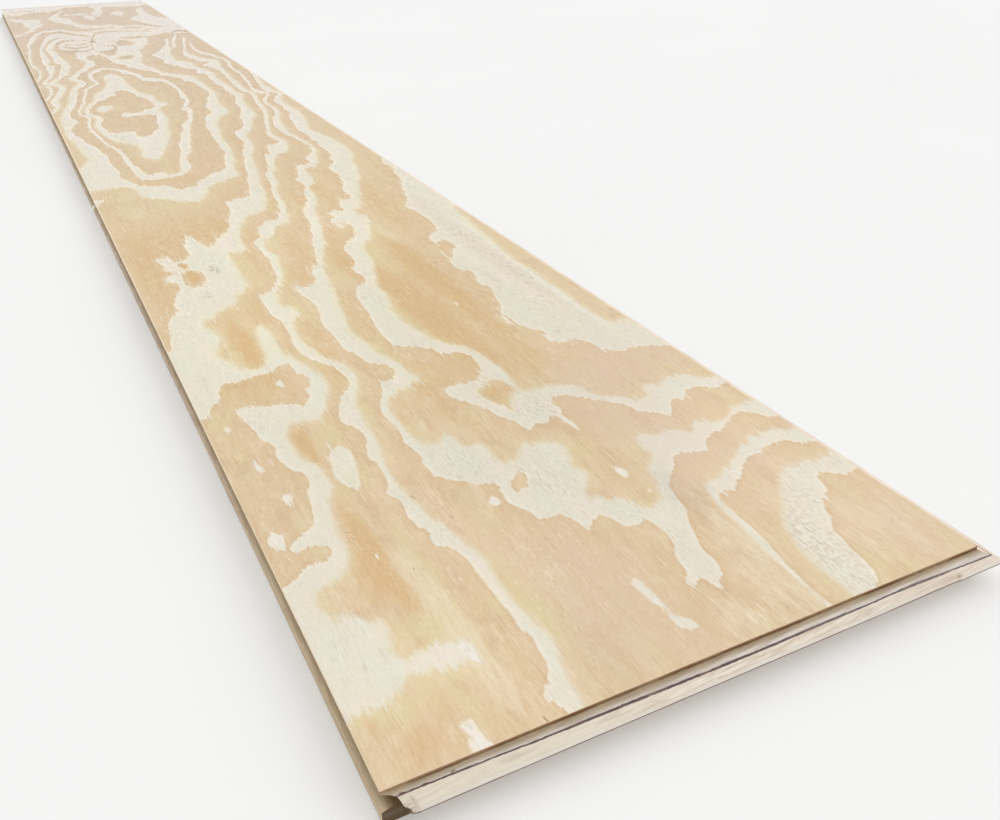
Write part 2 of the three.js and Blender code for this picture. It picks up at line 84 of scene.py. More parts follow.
+ m 1318,-8 1340,3 1360,8 1380,11 1400,13 1415,13 1424,9 1430,3 1434,-8 1446,-8 1440,3 1434,10 1426,16 1410,18 1395,17 1378,15 1358,12 1340,8 1325,3 1308,-8
+ m 1228,-8 1240,1 1255,5 1270,8 1285,9 1300,6 1312,6 1325,9 1338,13 1360,17 1380,21 1400,25 1415,27 1425,25 1433,19 1440,13 1450,10 1462,8 1475,10 1490,15 1510,21 1530,24 1550,24 1580,24 1600,25 1625,24 1650,23 1675,24 1700,26 1720,26 1745,24 1770,24 1790,26 1810,29 1840,34 1870,38 1900,42 1925,46 1950,50 s 1950,64 1925,60 1900,55 1880,50 1860,46 1830,41 1800,36 1780,33 1760,33 1740,34.5 1720,36 1700,36.5 1680,36 1660,34.5 1645,34 1638,31 1628,28 1618,30 1614,36 1605,38 1590,36.5 1570,34.5 1550,33 1530,31 1510,27 1490,21 1478,17 1465,14 1458,18 1450,24 1442,30 1430,34 1415,35 1400,34 1380,31 1360,27 1340,23 1328,19 1318,16 1305,17 1290,18 1275,15 1255,11 1240,7 1228,2 1215,-8
+ m 1462,18 1475,23 1490,28 1505,34 1520,37 1540,39 1560,42 1580,45 1600,48 1618,48 1630,44 1650,42 1680,42 1700,43 1720,43 1745,41 1770,39 1790,40 1810,42 1840,47 1860,51 1880,57 1885,70 s 1880,74 1865,66 1845,61 1825,58 1805,54 1790,52 1770,51.5 1750,53 1720,54.5 1690,55 1665,58 1645,59 1625,61 1600,62 1580,60 1560,56 1540,52 1520,48 1505,43 1490,36 1475,31 1460,27 1450,30 1445,26
- s 1618,140 1630,138 1645,142 1652,150 1655,160 1648,168 1635,166 1622,160 1615,150
- s 1662,130 1680,126 1700,124 1720,122 1728,128 1722,138 1735,145 1750,150 1775,149 1790,151 1770,156 1750,155 1730,150 1700,146 1675,142 1664,137
- m 1828,119 1845,120 1862,124 1885,127 1910,131 1935,136 1925,139 1905,135 1880,130 1855,128 1838,129 1828,127
- s 1762,172 1768,163 1780,158 1795,160 1812,164 1835,168 1840,176 1825,183 1805,187 1790,191 1775,188 1763,182
- v 1872,180 1868,195 1870,212 1852,214 1842,208 1852,195 1862,182
- v 1925,138 1945,140 1962,143 1968,155 1968,168 1960,182 1950,200 1940,215 1930,228 1925,225 1935,205 1948,185 1955,170 1950,158 1938,148
- s 1978,130 1990,120 2010,116 2030,120 2045,118 2030,125 2020,140 2015,160 2020,175 2030,178 2020,184 2008,182 2000,170 1995,155 1985,142
- v 1990,198 1998,205 1995,225 1985,235 1970,232 1968,224 1978,210
- s 2060,225 2075,235 2060,242 2045,246 2030,255 2010,260 1995,268 1975,271 1960,270 1970,260 1990,250 2005,240 2025,232 2045,226
- s 1650,92 1656,91 1657,93
+ m 1700,243 1725,246 1750,250 1775,254 1800,260 1830,268 1860,276 1830,272 1800,265 1770,259 1740,254 1715,250 1700,248
+ s 1985,-8 2000,8 2015,18 2035,24 2055,30 2080,36 2100,30 2120,26 2150,28 2180,26 2195,16 2215,8 2235,4 2245,-8 2262,-8 2250,8 2235,20 2228,32 2220,45 2216,56 2205,61 2180,61 2150,62 2130,64 2110,60 2095,55 2080,48 2060,43 2040,40 2025,32 2010,24 1995,16 1975,10 1965,-8
+ s 2105,108 2125,100 2130,93 2150,89 2175,85 2200,80 2220,81 2240,86 2255,90 2265,98 2280,104 2300,108 2290,110 2270,106 2250,103 2230,103 2215,106 2205,112 2200,118 2180,120 2150,122 2120,124 2095,128 2080,135 2060,138 2045,130 2050,120 2070,118 2090,114
+ s 2245,118 2262,116 2278,124 2282,138 2270,148 2262,158 2245,158 2235,150 2240,140 2248,130
+ m 2145,162 2158,154 2175,150 2200,150 2220,154 2235,156 2225,163 2205,168 2185,170 2160,168
+ s 2205,175 2225,170 2250,169 2275,175 2295,182 2315,188 2340,180 2360,178 2380,185 2390,200 2375,215 2355,210 2330,200 2310,200 2290,200 2270,198 2245,190 2220,185 2195,180
+ s 2170,219 2195,222 2205,212 2220,206 2240,210 2252,218 2265,226 2255,233 2235,234 2205,229 2180,224
+ s 2030,260 2050,248 2080,240 2100,232 2120,232 2135,240 2160,246 2170,254 2190,260 2230,262 2260,266 2290,272 2310,280 2290,284 2250,280 2210,279 2180,280 2150,282 2120,290 2100,300 2090,312 2030,312
+ v 2290,-8 2300,10 2320,25 2325,35 2345,38 2340,20 2335,5 2345,-8 2445,-8 2445,312 2350,312 2340,290 2330,275 2345,262 2330,250 2320,258 2335,240 2345,228 2350,215 2380,210 2385,195 2385,175 2385,150 2375,140 2370,125 2355,118 2330,105 2340,98 2355,85 2340,70 2350,55 2335,48 2320,38 2300,30
- c 520,40 526,37 535,36 548,37 555,39 558,43 560,46 556,48 552,52 543,53 535,53 527,50 523,46
- m 563,41 568,40 575,38 580,40 579,43 574,46 567,45
+ m 323,55 326,53 330,53 333,55 328,57
+ s 604,188 608,185 612,187 610,191 606,191
- m 606,28 601,33 597,31 603,27
- m 1732,14.1 1800,18.3 1840,22.9 1874,31.3 1916,38 1959,45.8 1992,55.6 2012,66.3 2013,81 1995,93.9 1966,103.6 1948,114.3 1921,125.7 1895,127.9 1910,120.8 1929,108.6 1944,97.7 1965,89 1980,79.7 1981,69 1969,59.9 1941,53.1 1904,46.6 1862,39.7 1815,33.4 1770,28.2 1727,22.4
- c 1870,51.3 1865,52.6 1886,59.4 1904,67.6 1913,77 1914,89.3 1918,90.1 1922,90 1926,78 1919,68.4 1904,59.8 1883,52.6
- c 1826,59.2 1821,60.6 1844,67.4 1860,75.5 1868,84.7 1872,85.5 1875,85.3 1873,76.3 1860,67.9 1840,60.6
- c 1786,70.4 1788,71.6 1807,74.7 1823,80.4 1828,86.6 1831,87.3 1835,87.2 1837,81.2 1820,74.2 1793,70.5
- c 1803,73.7 1792,73.4 1779,78.9 1773,88.4 1772,98.4 1779,107.7 1799,116.8 1804,117.7 1808,117.3 1793,108.7 1786,99.7 1787,89.8 1796,80.9 1810,75.7
- c 1806,91.2 1801,91.5 1806,98.9 1815,108.3 1827,118.3 1831,119 1834,118.9 1827,109.3 1821,100.1 1813,92.4
- c 1740,77.8 1736,77.9 1731,90.4 1730,102 1743,110.6 1776,117.4 1815,120.8 1818,120.4 1814,119.3 1780,115.8 1757,110.8 1746,103.4 1744,91.8 1745,78.7
- c 1794,149.8 1789,149.4 1767,152.1 1743,153.6 1725,151.3 1714,144.3 1712,134.2 1720,122.1 1734,115.8 1762,116 1763,115.4 1759,114.7 1727,114.3 1709,120.6 1701,132.8 1703,143.2 1717,151.3 1749,155.8 1776,154.3 1796,150.6
- c 1857,128.3 1854,128.4 1859,135.9 1847,141.4 1834,146.7 1836,147.5 1841,147.8 1855,142.5 1866,136.8 1861,129.1
- c 1833,149.7 1828,149.6 1820,159 1808,166 1812,167.1 1816,167.3 1829,160.2 1837,150.8
- c 2008,149.9 2000,149.8 2001,164.9 2002,180.1 1987,193.1 1975,206.6 1976,225.7 1952,240.8 1923,255.1 1927,256.2 1931,256.6 1963,242.8 1987,227.5 1987,208.2 1998,194.7 2014,181.6 2012,166.2 2015,151.5
+ c 2320,-0 2312,0.3 2317,16.4 2322,32.7 2327,49.1 2335,65.9 2333,82 2317,92.8 2324,94.2 2333,94.4 2349,83.3 2351,67 2343,50 2338,33.5 2333,17.2 2328,1
- c 2362,4.3 2356,4.6 2360,18.9 2363,35.3 2363,51.6 2359,67.7 2365,68.7 2371,68.6 2376,52.4 2376,36 2373,19.6 2368,5.2
+ c 2205,81.5 2202,82.6 2229,90 2261,100.8 2296,112.2 2333,121.7 2343,122.7 2346,122 2318,112.8 2286,101.6 2252,90.4 2218,82.6
- c 2326,97.4 2322,97.7 2347,110.3 2369,124.9 2381,140.8 2375,157 2352,171.5 2330,185.8 2334,187 2341,187.3 2367,173.3 2390,158.7 2396,142.2 2384,126 2362,111.1 2333,98.2
- m 2297,117.6 2313,133.7 2315,146.4 2294,152.4 2267,141.3 2263,124.5
- m 2341,163.9 2334,175.8 2282,171.8 2258,162.8 2285,157.6
+ c 803,1.5 801,4.6 801,7.4 799,10 792,8.6 786,6.3 783,3.8 777,2.2 775,-0
+ c 1963,34.8 1959,35.9 1980,43 2005,51.9 2024,62.3 2035,63.8 2043,63.2 2029,52.7 2002,43.1 1975,35.8
- c 1955,145.3 1948,145.3 1952,156.7 1948,172.8 1939,193.8 1928,218.3 1913,242.1 1917,243.2 1921,243.5 1941,220.2 1951,195.5 1961,174.6 1965,158.3 1962,146.8
- c 1864,175.1 1858,174.9 1845,187.3 1838,200.7 1845,216.3 1858,229.3 1862,230.3 1865,230.3 1860,218.4 1857,203.4 1861,189.7 1868,176.4
- c 1770,134.7 1768,135.3 1785,140.6 1776,143.3 1761,141.8 1752,136.9 1747,135.9 1743,136.3 1755,142.2 1783,145 1795,141.6 1776,135.4
- c 1840,60 1837,60.9 1856,66.9 1870,74.7 1871,88.5 1867,105.4 1855,117.9 1859,119 1865,119.1 1878,106.6 1884,89.7 1885,75.8 1872,67.3 1849,60.8
- c 1760,35.4 1764,36.8 1801,41 1843,48.6 1879,56.6 1892,57.5 1894,55.9 1858,47.5 1810,39.1 1767,35.1
"""

SOFT_OF = {"c": 0.0, "m": 0.22, "s": 0.62, "v": 1.0}
CELL = 40.0          # mm, how far a shape's edge is felt


def read_shapes(text):
    """[(sign, points (n,2), softness of the edge that ends at each point)]"""
    out = []
    for line in text.strip().splitlines():
        words = line.split()
        sign = 1 if words[0] == "+" else -1
        soft, pts, kinds = 0.0, [], []
        for w in words[1:]:
            if w in SOFT_OF:
                soft = SOFT_OF[w]
            else:
                x, b = w.split(",")
                pts.append((float(x), float(b)))
                kinds.append(soft)
        out.append((sign, np.array(pts), np.array(kinds)))
    return out


def smooth_outline(pts, kinds, step=1.6):
    """A closed curve through the points (Catmull-Rom, centripetal), cut into short segments."""
    n = len(pts)
    P, S = [], []
    for i in range(n):
        p0, p1, p2, p3 = pts[i - 1], pts[i], pts[(i + 1) % n], pts[(i + 2) % n]
        d = [max(1e-3, np.hypot(*(q - p))) ** 0.5 for p, q in ((p0, p1), (p1, p2), (p2, p3))]
        t0, t1 = 0.0, d[0]
        t2, t3 = t1 + d[1], t1 + d[1] + d[2]
        length = d[1] ** 2
        m = max(1, int(np.ceil(length / (step if max(p1[0], p2[0]) < 700 else 2.2 * step))))
        t = (t1 + (t2 - t1) * np.arange(m) / m)[:, None]
        A1 = (t1 - t) / (t1 - t0) * p0 + (t - t0) / (t1 - t0) * p1
        A2 = (t2 - t) / (t2 - t1) * p1 + (t - t1) / (t2 - t1) * p2
        A3 = (t3 - t) / (t3 - t2) * p2 + (t - t2) / (t3 - t2) * p3
        B1 = (t2 - t) / (t2 - t0) * A1 + (t - t0) / (t2 - t0) * A2
        B2 = (t3 - t) / (t3 - t1) * A2 + (t - t1) / (t3 - t1) * A3
        P.append((t2 - t) / (t2 - t1) * B1 + (t - t1) / (t2 - t1) * B2)
        S.append(np.full(m, kinds[(i + 1) % n]))
    return np.vstack(P), np.concatenate(S)


def level(shapes, q):
    """+1 in pale wood, -1 in tan, at the points q. A later shape lies over an earlier one."""
    lv = np.full(len(q), -1.0)
    order = np.argsort(q[:, 0], kind="stable")
    qs = q[order]
    for sign, P, _ in shapes:
        a, b = P, np.roll(P, -1, 0)
        lo, hi = P[:, 0].min(), P[:, 0].max()
        i0, i1 = np.searchsorted(qs[:, 0], lo), np.searchsorted(qs[:, 0], hi)
        if i1 <= i0:
            continue
        idx = np.arange(i0, i1)
        inside = np.zeros(i1 - i0, bool)
        for k in range(len(a)):
            x0, x1 = a[k, 0], b[k, 0]
            if x0 == x1:
                continue
            j0 = np.searchsorted(qs[i0:i1, 0], min(x0, x1), side="left")
            j1 = np.searchsorted(qs[i0:i1, 0], max(x0, x1), side="left")
            if j1 <= j0:
                continue
            x = qs[i0 + j0:i0 + j1, 0]
            y = a[k, 1] + (x - x0) / (x1 - x0) * (b[k, 1] - a[k, 1])
            inside[j0:j1] ^= qs[i0 + j0:i0 + j1, 1] < y
        lv[order[idx[inside]]] = sign
    return lv


def ring_field(text, q):
    """Signed distance (mm) to the nearest edge of a growth ring, its gradient, how soft that edge is,
    and where the point lies between the crisp edge (0) and the soft edge (1) of its ring."""
    shapes = [(s, *smooth_outline(p, k)) for s, p, k in read_shapes(text)]
    A = np.vstack([P for _, P, _ in shapes])
    B = np.vstack([np.roll(P, -1, 0) for _, P, _ in shapes])
    S = np.concatenate([k for _, _, k in shapes])
    mid, dirn = (A + B) / 2, B - A
    ln = np.maximum(np.hypot(*dirn.T), 1e-6)
    nrm = np.c_[-dirn[:, 1], dirn[:, 0]] / ln[:, None]
    l0, l1 = level(shapes, mid + 0.25 * nrm), level(shapes, mid - 0.25 * nrm)
    keep = l0 != l1
    A, B, S = A[keep], B[keep], S[keep]
    lv = level(shapes, q)
    n = len(q)
    best = np.full(n, CELL)
    grad = np.zeros((n, 2))
    near = {0: np.full(n, CELL), 1: np.full(n, CELL)}
    soft = np.zeros(n)
    order = np.argsort(q[:, 0], kind="stable")
    xs = q[order, 0]
    mx, MX = np.minimum(A[:, 0], B[:, 0]), np.maximum(A[:, 0], B[:, 0])
    step = 512
    for s in range(0, n, step):
        ids = order[s:s + step]
        lo, hi = xs[s] - CELL, xs[min(n, s + step) - 1] + CELL
        use = (MX >= lo) & (mx <= hi)
        if not use.any():
            continue
        a, d, k = A[use], B[use] - A[use], S[use]
        w = q[ids][:, None, :] - a[None]
        t = np.clip((w * d).sum(2) / np.maximum((d * d).sum(1), 1e-9), 0, 1)
        off = w - t[..., None] * d
        dist = np.sqrt((off ** 2).sum(2))
        j = dist.argmin(1)
        r = np.arange(len(ids))
        dm = dist[r, j]
        g = off[r, j] / np.maximum(dm, 1e-6)[:, None]
        hit = dm < CELL
        best[ids[hit]] = dm[hit]
        grad[ids[hit]] = g[hit]
        wgt = np.exp(-(dist - dm[:, None]) / 2.0)
        soft[ids] = (wgt * k).sum(1) / wgt.sum(1)
        crisp = k < 0.4
        if crisp.any():
            near[0][ids] = np.minimum(CELL, dist[:, crisp].min(1))
        if (~crisp).any():
            near[1][ids] = np.minimum(CELL, dist[:, ~crisp].min(1))
    d = best * lv
    g = grad * lv[:, None]
    phase = near[0] / (near[0] + near[1] + 1e-3)
    return d, g, soft, phase


# ---------------------------------------------------------------- small tools
def lattice(i, j, seed):
    n = (i.astype(np.int64) * 374761393 + j.astype(np.int64) * 668265263 + seed * 144665) & 0xFFFFFFFF
    n = ((n ^ (n >> 13)) * 1274126177) & 0xFFFFFFFF
    n = n ^ (n >> 16)
    return (n & 0xFFFFFF) / float(0xFFFFFF)


def vnoise(x, y, seed=0):
    """Smooth value noise in -1..1, one cell per unit."""
    x, y = np.asarray(x, float), np.asarray(y, float) + 0.0 * np.asarray(x, float)
    i, j = np.floor(x), np.floor(y)
    u, v = x - i, y - j
    u, v = u * u * (3 - 2 * u), v * v * (3 - 2 * v)
    a, b = lattice(i, j, seed), lattice(i + 1, j, seed)
    c, d = lattice(i, j + 1, seed), lattice(i + 1, j + 1, seed)
    return 2 * ((a * (1 - u) + b * u) * (1 - v) + (c * (1 - u) + d * u) * v) - 1


def ramp(x, lo, hi):
    t = np.clip((x - lo) / (hi - lo), 0, 1)
    return t * t * (3 - 2 * t)


def bump_between(x, lo, hi, ease):
    return ramp(x, lo, lo + ease) * (1 - ramp(x, hi - ease, hi))


# ---------------------------------------------------------------- sections of the edges
ARRIS = [(-0.9, 0.0), (-0.38, 0.06), (-0.1, 0.26), (0.0, 0.6)]
FOOT = [(0.0, 17.75), (-0.25, 18.0)]
TOP_SLOPE = (5.2 - 2.2) / 8.5
UNDER_SLOPE = (11.0 - 8.7) / 8.5
TONGUE = (ARRIS + [(0.0, 1.4), (0.0, 2.2)]
          + [(a, 2.2 + TOP_SLOPE * a) for a in (0.7, 1.6, 2.6, 3.6, 4.6, 5.6, 6.6, 7.4, 8.05)]
          + [(8.4, 5.35), (8.5, 5.9), (8.5, 7.1), (8.5, 8.1), (8.35, 8.6)]
          + [(a, 11.0 - UNDER_SLOPE * a) for a in (6.4, 3.2, 0.0)]
          + [(0.0, 13.0), (0.0, 15.5)] + FOOT)
K_ROOT, K_BASE = 5, len(TONGUE) - 5          # where the tongue leaves the shoulder, above and below
GROOVE = ([(-a, h) for a, h in ARRIS] + [(0.0, 1.3), (0.25, 2.0)]
          + [(c, 2.0 + 0.35 * c) for c in (1.6, 3.4, 5.7, 7.3, 8.6)]
          + [(9.0, 5.4), (9.0, 7.0), (9.0, 8.6)]
          + [(c, 11.3 - (11.3 - 8.85) / 9.0 * c) for c in (8.4, 6.0, 3.0, 0.5)]
          + [(0.0, 11.5), (0.0, 13.0), (0.0, 15.0), (0.0, 16.6)] + [(-a, h) for a, h in FOOT])
G_OUT = 6                                     # the level of the upper wall at c = 1.6
KT, KG = len(TONGUE) - 1, len(GROOVE) - 1
FINE = 3                                      # rows of the near end for each row of the face


def torn_reach(b):
    """How far out the near tongue still reaches at b, how far its upper edge is broken back, and how torn it is."""
    r = np.full_like(b, 8.5) - 0.10 * (0.5 + 0.5 * vnoise(b / 7.0, 0 * b, 3))
    back = np.full_like(b, 0.03) + 0.05 * np.abs(vnoise(b / 9.0, 0 * b, 4))
    tear = np.zeros_like(b)
    for lo, hi, deep, ease in ((107, 122, 0.7, 5), (136, 148, 0.6, 4), (60, 66, 0.35, 2), (186, 214, 0.55, 8)):
        m = bump_between(b, lo, hi, ease)
        back = back + deep * m * (0.8 + 0.2 * vnoise(b / 2.3, 0 * b, 11))
        tear = np.maximum(tear, m * min(1.0, deep))
    # a long sliver has broken off, deepest where it stops against the sound corner
    m = ramp(b, 232, 284) * (b < 286.2)
    back = back + 1.75 * m * (0.92 + 0.08 * vnoise(b / 1.6, 0 * b, 13))
    tear = np.maximum(tear, m)
    r = r - 0.35 * m
    # the broken left end
    m = 1 - ramp(b, 10.7, 11.3)
    r = r - m * (1.1 + 0.3 * vnoise(b / 0.9, 0 * b, 14))
    tear = np.maximum(tear, m)
    return np.clip(r, 4.5, 8.5), back, tear


def cut_end(a, h, rough=1.0):
    """Where a tongue stops at the end that the groove runs out through, measured from that edge."""
    a, h = np.asarray(a, float), np.asarray(h, float)
    up = np.interp(a, (0, 0.3, 0.9, 1.55, 2.2, 2.75, 4.0, 6.05, 7.4, 8.0, 8.5), (1.5, 1.8, 3.4, 4.8, 5.5, 6.0, 6.2, 6.7, 7.7, 8.8, 9.4))
    up = np.maximum(up, 0.6 + 1.01 * a)
    low = 9.4 + 2.0 * ramp(a, 2.0, 7.5)
    t = ramp(h, 5.0, 8.4)
    return up * (1 - t) + low * t + 0.22 * rough * vnoise(a / 0.9, h / 0.7, 5) * np.clip((a - 1.2) / 2.0, 0, 1)


class Skin:
    """Vertices and faces, with the finish and a tag for every face."""

    def __init__(self):
        self.co, self.faces, self.mats = [], [], []
        self.n = 0

    def add(self, X, b, h):
        X, b, h = np.broadcast_arrays(np.asarray(X, float), np.asarray(b, float), np.asarray(h, float))
        self.co.append(np.stack([X.ravel(), b.ravel(), h.ravel()], -1))
        ids = np.arange(self.n, self.n + X.size).reshape(X.shape)
        self.n += X.size
        return ids

    def grid(self, ids, mat):
        q = np.stack([ids[:-1, :-1], ids[1:, :-1], ids[1:, 1:], ids[:-1, 1:]], -1).reshape(-1, 4)
        self.faces += [tuple(f) for f in q.tolist()]
        self.mats += [mat] * len(q)

    def poly(self, ids, mat):
        out = []
        for v in ids:
            if not out or out[-1] != int(v):
                out.append(int(v))
        if out[0] == out[-1]:
            out.pop()
        self.faces.append(tuple(out))
        self.mats.append(mat)


FACE, END, SIDE, BACK = 0, 1, 2, 3


def columns():
    xs, x = [], 8.0
    while x < LONG - 16:
        xs.append(x)
        x += 1.95 + 0.0055 * x
    xs = np.array(xs)
    xs = 8.0 + (xs - 8.0) * (LONG - 13.0 - 8.0) / (xs[-1] - 8.0)
    return np.concatenate([[0.9, 2.4, 4.1, 5.9], xs, [LONG - 9.2, LONG - 5.7, LONG - 4.1, LONG - 2.4, LONG - 0.9]])


def build_board():
    s = Skin()
    XC = columns()
    B = np.concatenate([[0.9, 2.4, 4.1, 5.7], np.linspace(7.6, WIDE - 2.9, 146), [WIDE - 0.9]])
    N, M = len(XC) - 1, len(B) - 1
    NE = N - 1
    tp, gp = np.array(TONGUE), np.array(GROOVE)

    top = s.add(XC[:, None], B[None, :], 0.0)

    # the near end: fine rows
    Bf = np.interp(np.arange(M * FINE + 1) / FINE, np.arange(M + 1), B)
    R = len(Bf) - 1
    re = FINE
    near = np.full((KT + 1, R + 1), -1)
    near[0, ::FINE] = top[0]
    extra = [r for r in range(R + 1) if r % FINE]
    near[0, extra] = s.add(0.9, Bf[extra], 0.0)
    for k in range(1, KT + 1):
        a, h = tp[k]
        if k <= 3 or k >= KT - 1:
            lo, hi = -a, WIDE + a
            b = lo + (Bf - 0.9) * (hi - lo) / (WIDE - 1.8)
            near[k] = s.add(-a, b, h)
        else:
            lo = float(cut_end(a, h))
            hi = WIDE + a
            b = lo + (Bf[re:] - Bf[re]) * (hi - lo) / (WIDE - 0.9 - Bf[re])
            near[k, re:] = s.add(-a, b, h)

    # the right side
    right = np.full((KT + 1, N + 1), -1)
    right[0] = top[:, M]
    for k in range(1, KT + 1):
        a, h = tp[k]
        right[k, 0] = near[k, R]
        if k <= 3 or k >= KT - 1:
            X = -a + (XC[1:] - 0.9) * (LONG + 2 * a) / (LONG - 1.8)
            right[k, 1:] = s.add(X, WIDE + a, h)
        else:
            end = LONG - float(cut_end(a, h, 0.3))
            X = -a + (XC[1:NE + 1] - 0.9) * (end + a) / (XC[NE] - 0.9)
            right[k, 1:NE + 1] = s.add(X, WIDE + a, h)

    # the left side
    left = np.full((KG + 1, N + 1), -1)
    left[0] = top[:, 0]
    for g in range(1, KG + 1):
        c, h = gp[g]
        outer = g <= 3 or g >= KG - 1
        lo, hi = (c if outer else 0.0), LONG - c
        X = lo + (XC - 0.9) * (hi - lo) / (LONG - 1.8)
        if outer:
            k = g if g <= 3 else KT - (KG - g)
            left[g, 0] = near[k, 0]
            left[g, 1:] = s.add(X[1:], c, h)
        else:
            left[g] = s.add(X, c, h)

    # the far end
    far = np.full((KG + 1, M + 1), -1)
    far[0] = top[N]
    for g in range(1, KG + 1):
        c, h = gp[g]
        outer = g <= 3 or g >= KG - 1
        hi = WIDE - c if outer else WIDE
        b = c + (B - 0.9) * (hi - c) / (WIDE - 1.8)
        far[g, 0] = left[g, N]
        if outer:
            k = g if g <= 3 else KT - (KG - g)
            far[g, M] = right[k, N]
            far[g, 1:M] = s.add(LONG - c, b[1:M], h)
        else:
            far[g, 1:] = s.add(LONG - c, b[1:], h)

    # faces of the top
    s.grid(top[1:], FACE)
    for j in range(M):
        s.poly([*near[0, j * FINE:(j + 1) * FINE + 1], top[1, j + 1], top[1, j]], FACE)

    def strip(ids, mat, first, last, arris=FACE):
        n = ids.shape[0] - 1
        for k in range(n):
            full = k < 3 or k >= n - 1
            i0, i1 = (0, ids.shape[1] - 1) if full else (first, last)
            s.grid(ids[k:k + 2, i0:i1 + 1], arris if k < 2 else mat)

    strip(near, END, re, R)
    strip(right, SIDE, 0, NE)
    strip(left, SIDE, 0, N)
    strip(far, END, 0, M)

    # a corner where a groove runs out through a tongue
    def corner(tcol, upper, lower, groove, at, mat, rough=1.0):
        """tcol: the tongue's last row, all levels. upper, lower: arris ids from the corner to that row.
        groove: the groove's ids where it runs out. at(a, u, h) -> X, b, h of a point a out and u from the edge."""
        mid = s.add(*at(0.0, 1.6, 2.38))
        low = s.add(*at(0.0, 9.3, 9.6))
        s.poly([*upper, tcol[4], tcol[5], mid, *groove[G_OUT:3:-1]], mat)
        s.poly([*lower, *tcol[KT - 2:K_BASE - 1:-1], low, *groove[13:KG - 1]], mat)
        ring = [*tcol[K_ROOT:K_BASE + 1], low, *groove[13:G_OUT - 1:-1], mid]
        ring = [int(np.ravel(v)[0]) for v in ring]
        outer = [tuple(tp[k]) for k in range(K_ROOT, K_BASE + 1)]
        inner = [(0.0, 9.6)] + [(0.0, float(gp[g][1])) for g in range(13, G_OUT - 1, -1)] + [(0.0, 2.38)]
        rim = [(max(a, 0.0), h) for a, h in outer + inner]
        pts = list(rim)
        rng = np.random.default_rng(7)
        for a in np.arange(0.5, 8.3, 0.62):
            lo_h, hi_h = 2.2 + TOP_SLOPE * a + 0.3, 11.0 - UNDER_SLOPE * a - 0.3
            for h in np.arange(lo_h, hi_h, 0.62):
                pts.append((a + 0.16 * rng.uniform(-1, 1), h + 0.16 * rng.uniform(-1, 1)))
        n = len(rim)
        verts, _, tris, orig, _, _ = delaunay_2d_cdt([Vector((float(a), float(h))) for a, h in pts],
                                                     [(i, (i + 1) % n) for i in range(n)], [list(range(n))], 1, 1e-5)
        inside = np.array([(pts[orig[i][0]]) for i in range(len(verts))], float)
        ids = []
        for i in range(len(verts)):
            o = orig[i][0]
            if o < n:
                ids.append(ring[o])
            else:
                a, h = inside[i]
                wall = 9.0 if h > 5.15 else (h - 2.0) / 0.35
                u = max(float(cut_end(a, 2.2 + TOP_SLOPE * a, rough)), min(wall, 9.0))
                if h > 8.6:
                    u = 9.3
                u += 0.55 * rough * float(vnoise(a / 0.8, h / 0.5, 31)) * min(1.0, a / 0.8) + 0.12
                ids.append(int(np.ravel(s.add(*at(a, u, h)))[0]))
        for t in tris:
            s.poly([ids[v] for v in t], mat)

    corner(near[:, re], near[3, :re + 1], near[KT - 1, :re + 1], left[:, 0], lambda a, u, h: (-a, u, h), END)
    corner(right[:, NE], right[3, N:NE - 1:-1], right[KT - 1, N:NE - 1:-1], far[:, M],
           lambda a, u, h: (LONG - u, WIDE + a, h), SIDE, 0.3)

    # the back
    rows = np.linspace(0, 1, 8)[1:-1]
    inner = s.add(XC[1:N, None], 0.3 + rows[None, :] * (WIDE - 0.6), THICK)
    sheet = np.concatenate([left[KG, 1:N, None], inner, right[KT, 1:N, None]], 1)
    s.grid(sheet, BACK)
    cuts_n = [int(round(v)) for v in np.linspace(0, R, len(rows) + 2)]
    cuts_f = [int(round(v)) for v in np.linspace(0, M, len(rows) + 2)]
    for m in range(len(rows) + 1):
        s.poly([*near[KT, cuts_n[m]:cuts_n[m + 1] + 1], sheet[0, m + 1], sheet[0, m]], BACK)
        s.poly([*far[KG, cuts_f[m]:cuts_f[m + 1] + 1], sheet[-1, m + 1], sheet[-1, m]], BACK)

    co = np.concatenate(s.co)
    return s, co, near, right


